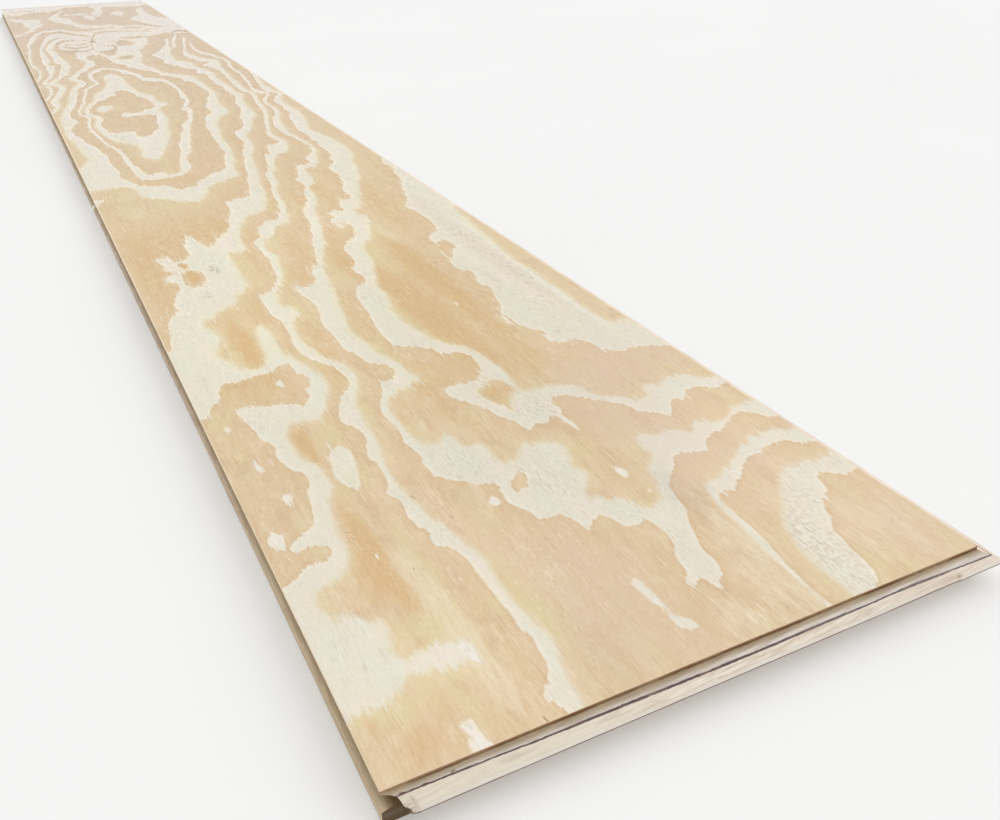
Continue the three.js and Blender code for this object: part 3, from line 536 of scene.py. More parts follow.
def wear(co, near, right):
    """Chips, tears and small unevenness, all of it inwards."""
    X, b, h = co[:, 0].copy(), co[:, 1].copy(), co[:, 2].copy()
    # the near tongue
    ids = np.unique(near[K_ROOT + 1:K_BASE, :])
    ids = ids[ids >= 0]
    out, hh = -X[ids], h[ids]
    reach, back, tear = torn_reach(b[ids])
    # outer face: pulled in, more near its upper edge where that is broken back
    upper = 1 - ramp(hh, 5.2, 8.2)
    lim = reach - 0.75 * back * upper
    X[ids] = -np.minimum(out, np.clip(lim, 0.5, 8.5))
    # upper face: drops away towards the broken edge
    fall = ramp(out, 8.5 - 0.9 - back * 1.35, 8.45) * (hh < 6.0)
    h[ids] += fall * back * (0.62 + 0.10 * vnoise(b[ids] / 1.3, out / 0.9, 42))
    rolled = (1 - ramp(b[ids], 10.8, 11.3)) * ramp(out, 2.9, 4.2) * (hh < 5.8)
    h[ids] += rolled * (0.60 + 0.55 * vnoise(b[ids] / 2.6 + out / 3.0, out / 1.25, 45))
    h[ids] += (hh < 5.4) * ramp(out, 0.5, 2.0) * 0.035 * (1 + vnoise(b[ids] / 5.0 + out / 3.0, out / 0.9, 44))
    # the rest of the tongue along the right side
    ids = np.setdiff1d(np.unique(right[K_ROOT + 1:K_BASE, :]), np.unique(near))
    ids = ids[ids >= 0]
    out = b[ids] - WIDE
    b[ids] = WIDE + np.minimum(out, 8.5 - 0.1 * (1 + vnoise(X[ids] / 14.0, h[ids] * 0, 51)))
    # the lip's lower edge is slightly frayed
    ids = near[K_ROOT, near[K_ROOT] >= 0]
    h[ids] -= 0.10 * (1 + vnoise(b[ids] / 1.4, 0 * b[ids], 61))
    ids = near[4, near[4] >= 0]
    X[ids] += 0.05 * (1 + vnoise(b[ids] / 2.2, 0 * b[ids], 62))
    # arrises
    for lv in (1, 2):
        ids = near[lv]
        X[ids] += 0.06 * (1 + vnoise(b[ids] / 2.7, 0 * b[ids], 63 + lv))
        ids = right[lv, 1:-1]
        b[ids] -= 0.06 * (1 + vnoise(X[ids] / 6.0, 0 * X[ids], 66 + lv))
    return np.stack([X, b, h], -1)


# ---------------------------------------------------------------- what the wood does at each vertex
# Soft patches on the face: kind, X, b, half length, half width, strength.
# o orange, y yellow green sap, p pink, w bleached streaks, r rippled, e dark dashes in pale wood, g grey
TINTS = """
o 30 8 7 4 .6     o 12 22 12 14 .6   o 31 36 11 8 .4    o 112 22 6 8 .3    o 115 38 22 8 .7    o 142 46 44 6.5 1
o 95 49 14 5 .6   o 246 47 24 6 1    o 90 74 50 5 .35   o 40 120 40 14 .15  o 160 182 42 15 .3  o 252 167 16 12 .55
o 245 112 26 7 .4 o 230 140 36 12 .3 o 330 40 32 30 .5  o 400 50 48 10 1   o 450 71 60 8 .55   o 330 88 50 7 .45
o 380 97 70 8 .5  o 400 132 90 9 .5  o 500 118 30 12 .6 o 560 135 50 12 .5 o 545 45 20 7 .8    o 571 43 10 4 .8
o 270 130 40 14 .4 o 300 150 30 18 .5 o 400 182 150 18 .95 o 380 214 150 12 .6 o 490 212 90 12 .65 o 520 160 60 12 .6
o 560 95 60 7 .4  o 560 14 120 12 .45 o 290 196 40 16 .3 o 600 238 60 12 .4 o 470 250 60 10 .2  o 640 40 80 36 .45
o 650 90 60 22 .55 o 610 115 30 8 .5  o 730 150 90 10 .5 o 730 205 90 12 .5 o 700 246 80 16 .5  o 700 180 70 8 .5
o 760 120 40 12 .4 o 830 100 20 16 .4 o 900 130 60 14 .3 o 960 180 70 10 .35 o 880 215 60 12 .35 o 1250 96 60 18 .35
o 1120 90 50 18 .25 o 1590 104 70 12 .3 o 1520 190 80 14 .3 o 1290 197 90 8 .3  o 1650 208 80 12 .2 o 590 170 30 14 .4
y 32 24 8 20 .6   y 44 38 7 14 .5    y 74 42 11 9 .6    y 100 14 10 6 .5   y 90 61 50 7 1.1     y 200 62 15 9 .8
y 190 50 14 5 .6  y 250 63 22 8 .8   y 150 206 14 7 .6  y 150 188 30 12 .25 y 205 128 20 8 .4  y 440 35 18 4 .9
y 395 33 10 3 .9  y 540 87 42 6 .8   y 470 69 22 6 .6   y 592 120 26 9 .7  y 500 190 42 8 .8   y 542 193 20 10 .6
y 572 217 32 6 .9 y 735 30 28 20 .6  y 800 26 30 26 .6  y 980 62 90 6 .7   y 900 86 30 14 .6   y 900 118 30 6 .4
y 690 232 40 6 .5 y 610 200 30 8 .3  y 1290 141 90 14 .6 y 1385 190 24 12 .5 y 1230 226 60 6 .4 y 2285 45 50 30 .5
y 2300 170 60 8 .4 y 2300 250 40 12 .3 y 1380 105 50 12 .4 y 270 112 14 12 .4 y 560 60 60 10 .15 y 1640 60 60 12 .4
p 100 76 50 5 .3  p 60 128 70 24 .35  p 130 252 130 50 .5  p 60 130 70 40 .35 p 200 215 70 30 .4 p 252 262 28 42 .7 p 400 297 130 7 .5 p 600 250 60 14 .3
p 30 285 45 20 .4 p 106 206 22 8 .3   p 880 130 60 14 .3  p 2160 172 130 42 .7 p 1660 208 80 12 .4 p 1900 240 90 40 .3
p 450 274 130 9 .8 p 640 280 90 10 .5 p 1100 200 90 60 .2 p 300 260 20 30 .3 p 480 113 24 8 .6  p 150 230 20 14 .2
w 62 61 46 5.5 1.2 w 212 60 20 6 .35   w 20 112 30 10 .1  w 88 112 42 11 .45  w 38 92 42 5 .35   w 236 113 12 4 .8   w 150 95 25 4 .3
w 10 170 20 11 .6 w 30 198 46 11 .55 w 48 208 56 3 .8    w 25 285 34 17 .5  w 120 60 20 6 .4   w 165 7 7 4 .8
w 199 22.5 6 3 .9 w 235 17 7 2 .9    w 238 25 5 1.6 .7   w 285 12 5 2 .9    w 138 190 7 2.5 .9 w 145 117 5 3 .8
w 22 208.4 34 2.4 1.1 w 30 203 45 7 .4 w 12 176 14 9 .45 w 38 146 22 4 .6  w 60 207 30 6 .2  w 348 225.5 9 2 .9 w 328 55 5 2.5 .9   w 608 188 5 3 .9   w 500 241 16 1.5 .8 w 590 120 26 8 .6
w 572 217 30 6 .8 w 545 27 10 5 .8   w 590 24 16 3 .5    w 700 30 60 22 .35 w 740 32 20 16 .5  w 800 26 26 22 .5
w 480 113 20 7 .7 w 400 205 60 8 .3  w 640 84 10 6 .7    w 510 130 14 2 .8   w 60 153 24 2 .5   w 230 155 24 4 .3
w 400 284 90 3 .8 w 350 285 50 3 .6  w 520 288 60 3 .6   w 6 42 12 5 .9      w 1180 85 12 6 .8  w 1230 64 18 6 .8
w 912 213 22 6 .5 w 840 232 10 4 .9  w 1240 45 90 3 .4   w 300 203 20 3 .3   w 190 296 20 8 .3  w 80 300 60 5 .3
w 97 57 34 5 .6   w 33 21 12 3.6 .55 y 33 21 12 3.6 .6 w 24 61 14 6 .6    w 105 19 14 4.5 .6 y 60 94 30 5 .7 w 30 259 24 7 .6   w 51 273 30 6 .35
r 38 238 44 13 1  r 72 258 24 13 .6  r 96 284 12 16 .4  r 66 178 30 7 .35  r 112 168 14 10 .35 r 140 150 34 15 .25
r 186 116 30 14 .3 r 226 184 18 12 .4 r 350 255 60 12 .25 r 40 60 20 8 .3   r 62 14 26 12 .12   r 330 280 30 10 .3
e 225 184 20 12 .9 e 370 252 90 10 .6 e 430 276 120 9 1  e 560 270 60 12 .6 e 640 282 60 8 .4  e 150 150 40 18 .5
e 40 240 44 12 .6 e 70 207 70 6 .7 e 480 113 20 5 .8   e 498 46 8 4 .7    e 186 116 30 14 .4 e 553 63 12 3 1    e 275 170 24 8 .6
e 120 170 20 8 .4 e 60 178 30 7 .4   e 250 157 24 6 .6  e 60 60 40 4 .5    e 420 155 60 6 .3  e 720 220 20 6 .4
g 1800 118 130 62 .9 g 1635 153 20 12 .6 g 1850 118 60 10 .3 g 1980 78 60 16 .45 g 1880 60 60 8 .3 g 1800 100 60 16 .35 g 1960 180 50 40 .35
g 1760 130 40 20 .25 g 2330 40 30 20 .25 g 1900 285 26 14 .5 g 1840 240 40 20 .3 g 2080 96 60 8 .3 g 2300 150 60 14 .25
"""


# painted light and shade: broad lighter and darker patches on the face, where the lamps fell unevenly: X, b, half
# length, half width, how much in percent
PAINTED_LIGHT_PATCHES = """
40 45 70 55 2.2   22 106 30 12 -3.2   60 262 90 45 2.6   106 207 26 12 -4.2   167 280 40 18 2.2   230 190 90 60 -1.4
330 165 110 50 -0.8   180 120 40 30 -0.8   420 60 70 45 2.0   560 95 90 40 1.5   620 180 90 40 1.4   430 232 80 20 -1.6   900 190 160 60 -0.8
"""


def painted_light(X, b):
    out = np.zeros(len(X))
    v = [float(w) for w in PAINTED_LIGHT_PATCHES.split()]
    for x0, b0, rx, ry, k in zip(*[iter(v)] * 5):
        out += 0.01 * k * np.exp(-(((X - x0) / rx) ** 2 + ((b - b0) / ry) ** 2))
    return out


def tints(X, b):
    out = {k: np.zeros(len(X)) for k in "oypwreg"}
    words = TINTS.split()
    for i in range(0, len(words), 6):
        x0, b0, rx, ry, k = (float(v) for v in words[i + 1:i + 6])
        r2 = ((X - x0) / rx) ** 2 + ((b - b0) / ry) ** 2
        out[words[i]] = np.maximum(out[words[i]], 0) + k * np.exp(-r2 ** 1.25)
    return {k: np.minimum(v, 1.2) for k, v in out.items()}


def first_glue(b):
    """How deep the first glue line lies at the near end, across the board."""
    return np.interp(b, (0, 26, 60, 100, 140, 180, 220, 262, 290, 313), (3.0, 3.06, 3.34, 3.45, 3.67, 3.7, 3.67, 3.56, 3.8, 3.95))


def make_board():
    s, base, near, right = build_board()
    co = wear(base, near, right)
    mesh = bpy.data.meshes.new("plywood_board")
    P = place(co[:, 0], co[:, 1], co[:, 2])
    mesh.from_pydata([tuple(p) for p in P.tolist()], [], s.faces)
    mesh.polygons.foreach_set("material_index", np.array(s.mats, np.int32))
    import bmesh
    bm = bmesh.new()
    bm.from_mesh(mesh)
    bad = [e for e in bm.edges if not e.is_manifold]
    print("open or shared edges:", len(bad), "vertices", len(bm.verts), "faces", len(bm.faces))
    for e in bad[:6]:
        print("  ", [tuple(round(c * 1000, 2) for c in v.co) for v in e.verts])
    bmesh.ops.recalc_face_normals(bm, faces=bm.faces)
    bm.to_mesh(mesh)
    bm.free()
    mesh.update()
    tris = sum(len(p.vertices) - 2 for p in mesh.polygons)
    print("triangles", tris)
    q = np.c_[np.clip(base[:, 0], 0.05, LONG - 0.05), np.clip(base[:, 1], 0.05, WIDE - 0.05)]
    on_top = base[:, 2] < 2.4
    d, g, soft, phase = np.zeros(len(q)), np.zeros((len(q), 2)), np.zeros(len(q)), np.zeros(len(q))
    d[on_top], g[on_top], soft[on_top], phase[on_top] = ring_field(FIGURE, q[on_top])
    ring = mesh.attributes.new("ring", "FLOAT_VECTOR", "POINT")
    ring.data.foreach_set("vector", np.c_[d, g].astype(np.float32).ravel())
    more = mesh.attributes.new("growth", "FLOAT_VECTOR", "POINT")
    tint = tints(base[:, 0], base[:, 1])
    more.data.foreach_set("vector", np.c_[soft, phase, tint["g"]].astype(np.float32).ravel())
    for name, keys in (("tint", "oyp"), ("mood", "wre")):
        at = mesh.attributes.new(name, "FLOAT_VECTOR", "POINT")
        at.data.foreach_set("vector", np.stack([tint[k] for k in keys], -1).astype(np.float32).ravel())
    # painted light and shade over broad patches, kept per vertex
    at = mesh.attributes.new("painted_light", "FLOAT", "POINT")
    at.data.foreach_set("value", (2.2 * painted_light(base[:, 0], base[:, 1])).astype(np.float32))
    tear = torn_reach(base[:, 1])[2] * (base[:, 0] < 0.5)
    ply = base[:, 2] + 0.25 + (3.25 - first_glue(base[:, 1])) * np.exp(-np.clip(base[:, 0] + 2.0, 0, 1e9) / 14.0)
    ply = np.where(base[:, 2] > 6.0, base[:, 2], ply)
    edge = mesh.attributes.new("ply", "FLOAT_VECTOR", "POINT")
    edge.data.foreach_set("vector", np.c_[ply, tear, base[:, 2]].astype(np.float32).ravel())
    mesh.polygons.foreach_set("use_smooth", np.ones(len(mesh.polygons), bool))
    mesh.set_sharp_from_angle(angle=math.radians(33))
    mesh.update()
    obj = bpy.data.objects.new("plywood_board", mesh)
    bpy.context.scene.collection.objects.link(obj)
    return obj


# ---------------------------------------------------------------- finishes
def srgb(r, g, b):
    return tuple((c / 255 / 12.92 if c / 255 <= 0.04045 else ((c / 255 + 0.055) / 1.055) ** 2.4) for c in (r, g, b)) + (1.0,)


class Net:
    """A short way to write a node tree."""

    def __init__(self, name):
        self.mat = bpy.data.materials.new(name)
        self.mat.use_nodes = True
        self.t = self.mat.node_tree
        self.t.nodes.clear()

    def put(self, sock, v):
        if isinstance(v, bpy.types.NodeSocket):
            self.t.links.new(v, sock)
        elif v is not None:
            sock.default_value = v

    def node(self, kind, **props):
        n = self.t.nodes.new(kind)
        for k, v in props.items():
            setattr(n, k, v)
        return n

    def m(self, op, a, b=0.0, c=None, clamp=False):
        n = self.node("ShaderNodeMath", operation=op, use_clamp=clamp)
        self.put(n.inputs[0], a)
        self.put(n.inputs[1], b)
        if c is not None:
            self.put(n.inputs[2], c)
        return n.outputs[0]

    def add(self, *v):
        out = v[0]
        for x in v[1:]:
            out = self.m("ADD", out, x)
        return out

    def mul(self, *v):
        out = v[0]
        for x in v[1:]:
            out = self.m("MULTIPLY", out, x)
        return out

    def v(self, op, a, b=None, scale=None):
        n = self.node("ShaderNodeVectorMath", operation=op)
        self.put(n.inputs[0], a)
        if b is not None:
            self.put(n.inputs[1], b)
        if scale is not None:
            n.inputs["Scale"].default_value = scale
        return n.outputs["Value"] if op in ("LENGTH", "DOT_PRODUCT", "DISTANCE") else n.outputs[0]

    def xyz(self, v):
        n = self.node("ShaderNodeSeparateXYZ")
        self.put(n.inputs[0], v)
        return n.outputs[0], n.outputs[1], n.outputs[2]

    def vec(self, x=0.0, y=0.0, z=0.0):
        n = self.node("ShaderNodeCombineXYZ")
        for i, c in enumerate((x, y, z)):
            self.put(n.inputs[i], c)
        return n.outputs[0]

    def attr(self, name):
        n = self.node("ShaderNodeAttribute", attribute_name=name)
        return self.xyz(n.outputs["Vector"])

    def noise(self, v, scale=1.0, detail=2.0, rough=0.5, distort=0.0, signed=False):
        n = self.node("ShaderNodeTexNoise", noise_dimensions="3D")
        self.put(n.inputs["Vector"], v)
        n.inputs["Scale"].default_value = scale
        n.inputs["Detail"].default_value = detail
        n.inputs["Roughness"].default_value = rough
        n.inputs["Distortion"].default_value = distort
        f = n.outputs["Fac"]
        return self.m("MULTIPLY_ADD", f, 2.0, -1.0) if signed else f

    def map(self, x, a, b, c=0.0, d=1.0, smooth=True):
        n = self.node("ShaderNodeMapRange", interpolation_type="SMOOTHSTEP" if smooth else "LINEAR")
        for i, s in enumerate((x, a, b, c, d)):
            self.put(n.inputs[i], s)
        return n.outputs[0]

    def mix(self, f, a, b, kind="MIX"):
        n = self.node("ShaderNodeMix", data_type="RGBA", blend_type=kind)
        n.clamp_factor = True
        self.put(n.inputs[0], f)
        self.put(n.inputs[6], a)
        self.put(n.inputs[7], b)
        return n.outputs[2]

    def ramp(self, f, stops):
        n = self.node("ShaderNodeValToRGB")
        el = n.color_ramp.elements
        while len(el) < len(stops):
            el.new(0.5)
        for e, (p, c) in zip(el, stops):
            e.position = p
            e.color = c
        self.put(n.inputs[0], f)
        return n.outputs[0]

    def curve(self, f, pts):
        """Piecewise smooth number of a number in 0..1."""
        n = self.node("ShaderNodeFloatCurve")
        c = n.mapping.curves[0]
        while len(c.points) < len(pts):
            c.points.new(0.5, 0.5)
        for p, (x, y) in zip(c.points, pts):
            p.location = (x, y)
        n.mapping.update()
        self.put(n.inputs["Value"], f)
        return n.outputs[0]

    def finish(self, colour, rough, height, depth, spec=0.3):
        bsdf = self.node("ShaderNodeBsdfPrincipled")
        out = self.node("ShaderNodeOutputMaterial")
        bump = self.node("ShaderNodeBump")
        bump.inputs["Strength"].default_value = 1.0
        bump.inputs["Distance"].default_value = depth
        self.put(bump.inputs["Height"], height)
        self.put(bsdf.inputs["Base Color"], colour)
        self.put(bsdf.inputs["Roughness"], rough)
        bsdf.inputs["Specular IOR Level"].default_value = spec
        self.put(bsdf.inputs["Normal"], bump.outputs[0])
        self.t.links.new(bsdf.outputs[0], out.inputs[0])
        return self.mat

    def where(self):
        tc = self.node("ShaderNodeTexCoord")
        return self.v("SCALE", tc.outputs["Object"], scale=1000.0)


def fibres(n, x, y, z, seed=0.0):
    """Streaks along X, from broad to fine. y wanders a little, as grain does."""
    drift = n.noise(n.vec(n.mul(x, 0.004), n.mul(y, 0.012), seed), detail=2, signed=True)
    yy = n.add(y, n.mul(drift, 5.0))
    zz = n.mul(z, 1.0)
    broad = n.noise(n.vec(n.mul(x, 0.006), n.mul(yy, 0.16), n.add(n.mul(zz, 0.16), seed)), detail=3, rough=0.6, signed=True)
    mid = n.noise(n.vec(n.mul(x, 0.012), n.mul(yy, 0.75), n.add(n.mul(zz, 0.75), seed + 3)), detail=3, rough=0.6, signed=True)
    fine = n.noise(n.vec(n.mul(x, 0.04), n.mul(yy, 2.6), n.add(n.mul(zz, 2.6), seed + 5)), detail=3, rough=0.6, signed=True)
    return yy, broad, mid, fine


def marks(n, P, rows):
    """Marks given one by one: x, y of the CAD frame in mm, half length, half width, turn in degrees, strength."""
    total = None
    turned = {}
    for x0, y0, rx, ry, turn, k in rows:
        if turn not in turned:
            q = P
            if turn:
                r = n.node("ShaderNodeVectorRotate", rotation_type="Z_AXIS")
                n.put(r.inputs["Vector"], P)
                r.inputs["Angle"].default_value = -math.radians(turn)
                q = r.outputs[0]
            turned[turn] = q
        c, s = math.cos(math.radians(turn)), math.sin(math.radians(turn))
        u, w = c * x0 + s * y0, c * y0 - s * x0
        near = n.node("ShaderNodeVectorMath", operation="MULTIPLY_ADD")
        n.put(near.inputs[0], turned[turn])
        n.put(near.inputs[1], (1.0 / rx, 1.0 / ry, 0.0))
        n.put(near.inputs[2], (-u / rx, -w / ry, 0.0))
        one = n.map(n.v("LENGTH", near.outputs[0]), 1.12, 0.59, 0.0, k)
        total = one if total is None else n.m("MAXIMUM", total, one)
    return total


def on_face(rows):
    return [(X + OFF_X, OFF_Y - b, rx, ry, turn, k) for X, b, rx, ry, turn, k in rows]


# X, b, half length, half width, turn, strength
DARK_MARKS = ((556, 62, 8, 0.9, 6, .30), (546, 64.6, 7, 0.9, -6, .27), (551, 66, 6, 1.0, 4, .25), (552, 60, 4, 1.2, 50, .25), (1886, 277, 5, 5, 0, .8), (1898, 288, 6, 8, 0, .8), (1888, 301, 6, 6, 0, .8), (169, 81, 2.2, 0.7, 20, .45), (142, 92, 2.0, 0.6, 0, .35), (155, 41, 1.6, 0.6, 30, .4), (112, 59, 1.5, 0.5, 0, .4),
              (110, 63, 1.3, 0.5, 0, .3), (2.0, 68.8, 2.4, 0.45, 8, .6), (62, 17, 2.4, 0.9, 0, .12), (1845, 123, 9, 1.6, 20, .75), (1831, 128, 7, 1.2, 0, .6), (1772, 147, 7, 1.2, 0, .45),
              (1892, 294, 5, 6.0, 0, .6))
STREAKS = ((28, 168.3, 5, 0.55, 5, .8), (18, 164.5, 4, 0.5, 3, .5), (10, 176, 6, 0.9, 5, .9), (9, 181, 6, 1.0, 2, .9), (6, 163.2, 4, 0.45, 2, .6), (14, 184, 6, 0.8, 0, .6), (36, 177, 6, 0.5, 3, .5))
LIGHT_MARKS = ((1868, 288, 5, 12, 0, .7), (115, 193, 2.0, 0.6, 0, .7), (130, 47, 2.8, 0.6, 0, .7), (95, 75, 2.0, 0.6, 0, .5), 
               (392, 207, 4.5, 0.9, 4, .8), (494, 241.5, 13, 0.7, -2, .8))


def face_material():
    n = Net("pine_face")
    P = n.where()
    x, y, z = n.xyz(P)
    X = n.m("SUBTRACT", x, OFF_X)
    d, gx, gy = n.attr("ring")
    soft, phase, grey = n.attr("growth")
    orange, sappy, pinkish = n.attr("tint")
    bleach, ripple, dashed = n.attr("mood")
    ply, tear, h = n.attr("ply")
    lit = n.node("ShaderNodeAttribute", attribute_name="painted_light").outputs["Fac"]
    drift = n.noise(n.vec(n.mul(x, 0.004), n.mul(y, 0.012), 0.3), detail=2, signed=True)
    yy = n.add(y, n.mul(drift, 6.0))

    def streak(fx, fy, seed, detail=3, rough=0.6, distort=0.0):
        return n.noise(n.vec(n.mul(x, fx), n.mul(yy, fy), seed), detail=detail, rough=rough, distort=distort, signed=True)

    def part(f, k, spread=0.5):
        """A patch with a strength painted in, its edge broken up by k."""
        return n.map(n.add(f, n.mul(k, spread)), 0.12, 0.95)

    blotch = streak(0.055, 0.15, 2.0, 4, 0.6)
    hue = streak(0.016, 0.05, 5.0, 4, 0.62)
    broad = streak(0.009, 0.17, 6.0, 3, 0.6)
    line = streak(0.034, 0.26, 9.0, 5, 0.82)
    line2 = streak(0.045, 0.42, 19.0, 4, 0.82)
    dash = streak(0.12, 1.9, 29.0, 2, 0.6)
    micro = streak(0.42, 2.6, 11.0, 2, 0.6)
    cell = streak(0.19, 0.30, 13.0, 3, 0.7, 0.9)
    curl = streak(0.40, 0.78, 33.0, 2, 0.6, 0.8)
    torn = streak(0.13, 1.15, 37.0, 2, 0.6)
    fleck = streak(0.075, 0.62, 41.0, 3, 0.75)
    tooth = streak(0.050, 0.42, 1.7, 3, 0.6)
    grit = streak(0.30, 0.95, 43.0, 3, 0.68)
    flake = streak(0.115, 0.36, 47.0, 3, 0.68)
    cloud = streak(0.034, 0.085, 53.0, 4, 0.7)
    thread = streak(0.022, 1.05, 71.0, 2, 0.55)
    jag = streak(0.055, 0.24, 73.0, 2, 0.6)
    speck = streak(0.20, 0.42, 79.0, 2, 0.6)
    away = n.map(X, 800, 1700)
    busy = n.map(n.add(streak(0.021, 0.06, 61.0, 3, 0.6), n.mul(blotch, 0.3)), -0.25, 0.33, 0.15, 1.3)
    cells = n.node("ShaderNodeTexVoronoi", feature="F1")
    n.put(cells.inputs["Vector"], n.vec(n.add(n.mul(x, 0.32), n.mul(blotch, 0.6)), n.mul(yy, 0.60), 0.0))
    cells.inputs["Scale"].default_value = 1.0
    cells.inputs["Randomness"].default_value = 0.72
    net = cells.outputs["Distance"]
    sway = n.noise(n.vec(n.mul(x, 0.03), n.mul(yy, 0.05), 4.4), detail=2, signed=True)

    # the rings' edges: small lobes along the grain, blotches where they are soft
    close = n.map(X, 150, 1300, 1.0, 0.5)
    along = n.add(n.mul(tooth, n.map(soft, 0, 1, 3.8, 7.0, False)), n.mul(blotch, n.map(soft, 0, 1, 2.0, 9.0, False)),
                  n.mul(cell, n.map(soft, 0, 1, 2.6, 4.0, False)), n.mul(line, n.map(soft, 0, 1, 0.0, 9.0, False), close, n.map(X, 60, 260, 0.5, 1.0)), n.mul(cloud, away, 13.0), n.mul(jag, n.map(X, 900, 1700, 0.0, 15.0)), n.mul(thread, soft, n.map(X, 120, 500, 4.0, 8.0), n.map(X, 1500, 1000)), n.mul(line2, n.map(X, 120, 600, 2.0, 17.0), n.map(X, 1700, 1100, 0.35, 1.0)), n.mul(line, soft, n.map(X, 700, 1200, 0.0, 12.0)), n.mul(flake, n.map(X, 100, 1000, 1.6, 6.0)), n.mul(fleck, n.map(X, 100, 1000, 1.2, 5.0)))
    across = n.add(n.mul(sway, n.map(soft, 0, 1, 0.5, 2.0, False)), n.mul(tooth, n.map(soft, 0, 1, 0.2, 1.0, False)),
                   n.mul(blotch, n.map(soft, 0, 1, 0.5, 3.0, False)), n.mul(cell, n.map(soft, 0, 1, 0.5, 1.5, False)), n.mul(jag, n.map(X, 900, 1700, 0.0, 2.2)))
    spur = streak(0.011, 0.55, 83.0, 2, 0.6)
    spurs = n.mul(n.add(n.map(spur, 0.10, 0.42), -0.06), n.map(n.add(blotch, n.mul(cell, 0.5)), -0.12, 0.2, 0.1, 1.0), n.map(X, 120, 500, 4.0, 27.0), n.map(X, 1700, 1100, 0.35, 1.0), n.m("ABSOLUTE", gx))
    d1 = n.add(d, n.mul(gx, along), n.mul(gy, across), spurs)
    sx, sy = n.mul(gx, n.map(X, 300, 1900, 1.0, 6.0, False)), n.mul(gy, n.map(X, 300, 1900, 1.0, 1.3, False))
    rimw = n.m("SQRT", n.add(n.mul(sx, sx), n.mul(sy, sy), 0.05))
    width = n.add(0.45, n.mul(soft, close, n.map(X, 700, 1300, 1.0, 1.9), n.add(1.6, n.mul(rimw, 1.9))))
    pale = n.map(n.m("DIVIDE", d1, width), -1.0, 1.0)
    in_tan = n.m("SUBTRACT", 1.0, pale)

    # colours
    tan = n.mix(n.map(n.add(phase, n.mul(line, 0.3), n.mul(blotch, 0.45)), 0.1, 0.95), srgb(222, 195, 157), srgb(228, 206, 169))
    tan = n.mix(n.map(hue, 0.02, 0.30, 0.0, 0.7), tan, srgb(229, 202, 170))
    tan = n.mix(n.map(hue, -0.02, -0.30, 0.0, 0.75), tan, srgb(224, 209, 166))
    zone = streak(0.028, 0.075, 67.0, 3, 0.6)
    near = n.map(X, 250, 550, 1.0, 0.5)
    tan = n.mix(n.mul(n.map(zone, 0.05, 0.32, 0.0, 0.65), near), tan, srgb(212, 183, 146))
    tan = n.mix(n.mul(n.map(zone, -0.06, -0.32, 0.0, 0.6), near), tan, srgb(234, 213, 180))
    tan = n.mix(n.mul(n.map(broad, 0.05, 0.35, 0.0, 0.4), near), tan, srgb(215, 184, 144))
    tan = n.mix(n.mul(n.map(blotch, -0.06, -0.34, 0.0, 0.5), near), tan, srgb(233, 213, 179))
    o = part(orange, blotch)
    s = part(sappy, blotch)
    tan = n.mix(n.mul(part(pinkish, hue), 0.75), tan, srgb(224, 199, 174))
    tan = n.mix(n.mul(o, 0.85), tan, srgb(217, 181, 130))
    tan = n.mix(n.mul(s, 0.75), tan, srgb(224, 208, 162))
    light = n.mix(n.map(X, 0, 1100), srgb(233, 225, 205), srgb(237, 229, 214))
    light = n.mix(n.map(hue, -0.05, -0.30, 0.0, 0.7), light, srgb(239, 228, 215))
    light = n.mix(n.mul(n.map(hue, 0.0, 0.28, 0.0, 0.8), n.map(X, 500, 1300, 1.0, 0.45)), light, srgb(229, 228, 209))
    light = n.mix(n.mul(n.map(blotch, 0.08, 0.34, 0.0, 0.45), n.map(X, 400, 1100, 1.0, 0.35)), light, srgb(222, 216, 197))
    light = n.mix(n.mul(soft, n.map(n.add(d1, n.mul(blotch, 6.0), n.mul(line, 5.0)), n.add(6.0, n.mul(rimw, n.map(X, 700, 1300, 3.0, 4.6))), 0.0), n.map(n.add(line2, n.mul(hue, 0.8)), 0.30, -0.15, 0.35, 1.0), n.map(X, 60, 450, 0.5, 0.95)), light, n.mix(n.map(X, 120, 500), srgb(232, 222, 190), srgb(240, 231, 197)))
    light = n.mix(n.mul(part(pinkish, hue), 0.65), light, srgb(230, 217, 201))
    light = n.mix(n.mul(s, 0.55), light, srgb(229, 219, 184))
    light = n.mix(n.mul(part(bleach, cell, 0.3), 0.8), light, srgb(241, 234, 224))
    col = n.mix(pale, tan, light)
    # sap colour along the soft edges
    sap = n.mul(n.map(n.add(n.mul(y, -1.0), n.mul(X, -1.0)), 40.0, -20.0), n.m("SUBTRACT", 1.0, n.map(n.m("ABSOLUTE", n.add(d1, 1.6)), 0.6, n.add(3.2, n.mul(rimw, 2.4)))), n.map(soft, 0.3, 0.9), n.map(hue, 0.3, -0.25),
                n.map(n.add(y, n.mul(X, -0.2)), -150.0, -60.0))
    col = n.mix(n.mul(sap, n.map(X, 300, 800, 0.62, 0.85)), col, srgb(224, 209, 160))
    # a thin line of denser latewood outside each crisp edge
    rim = n.mul(n.map(n.m("DIVIDE", d1, rimw), -2.4, -0.3), in_tan, n.map(n.add(line, blotch), -0.5, 0.1, 0.45, 1.0), n.m("SUBTRACT", 1.0, n.mul(n.map(soft, 0.05, 0.5), n.map(X, 1150, 1500, 1.0, 0.35))), n.map(blotch, -0.4, 0.3))
    col = n.mix(n.mul(rim, n.map(X, 600, 1600, 0.45, 0.85)), col, n.mix(n.map(X, 600, 1600), srgb(206, 175, 139), srgb(188, 162, 132)))
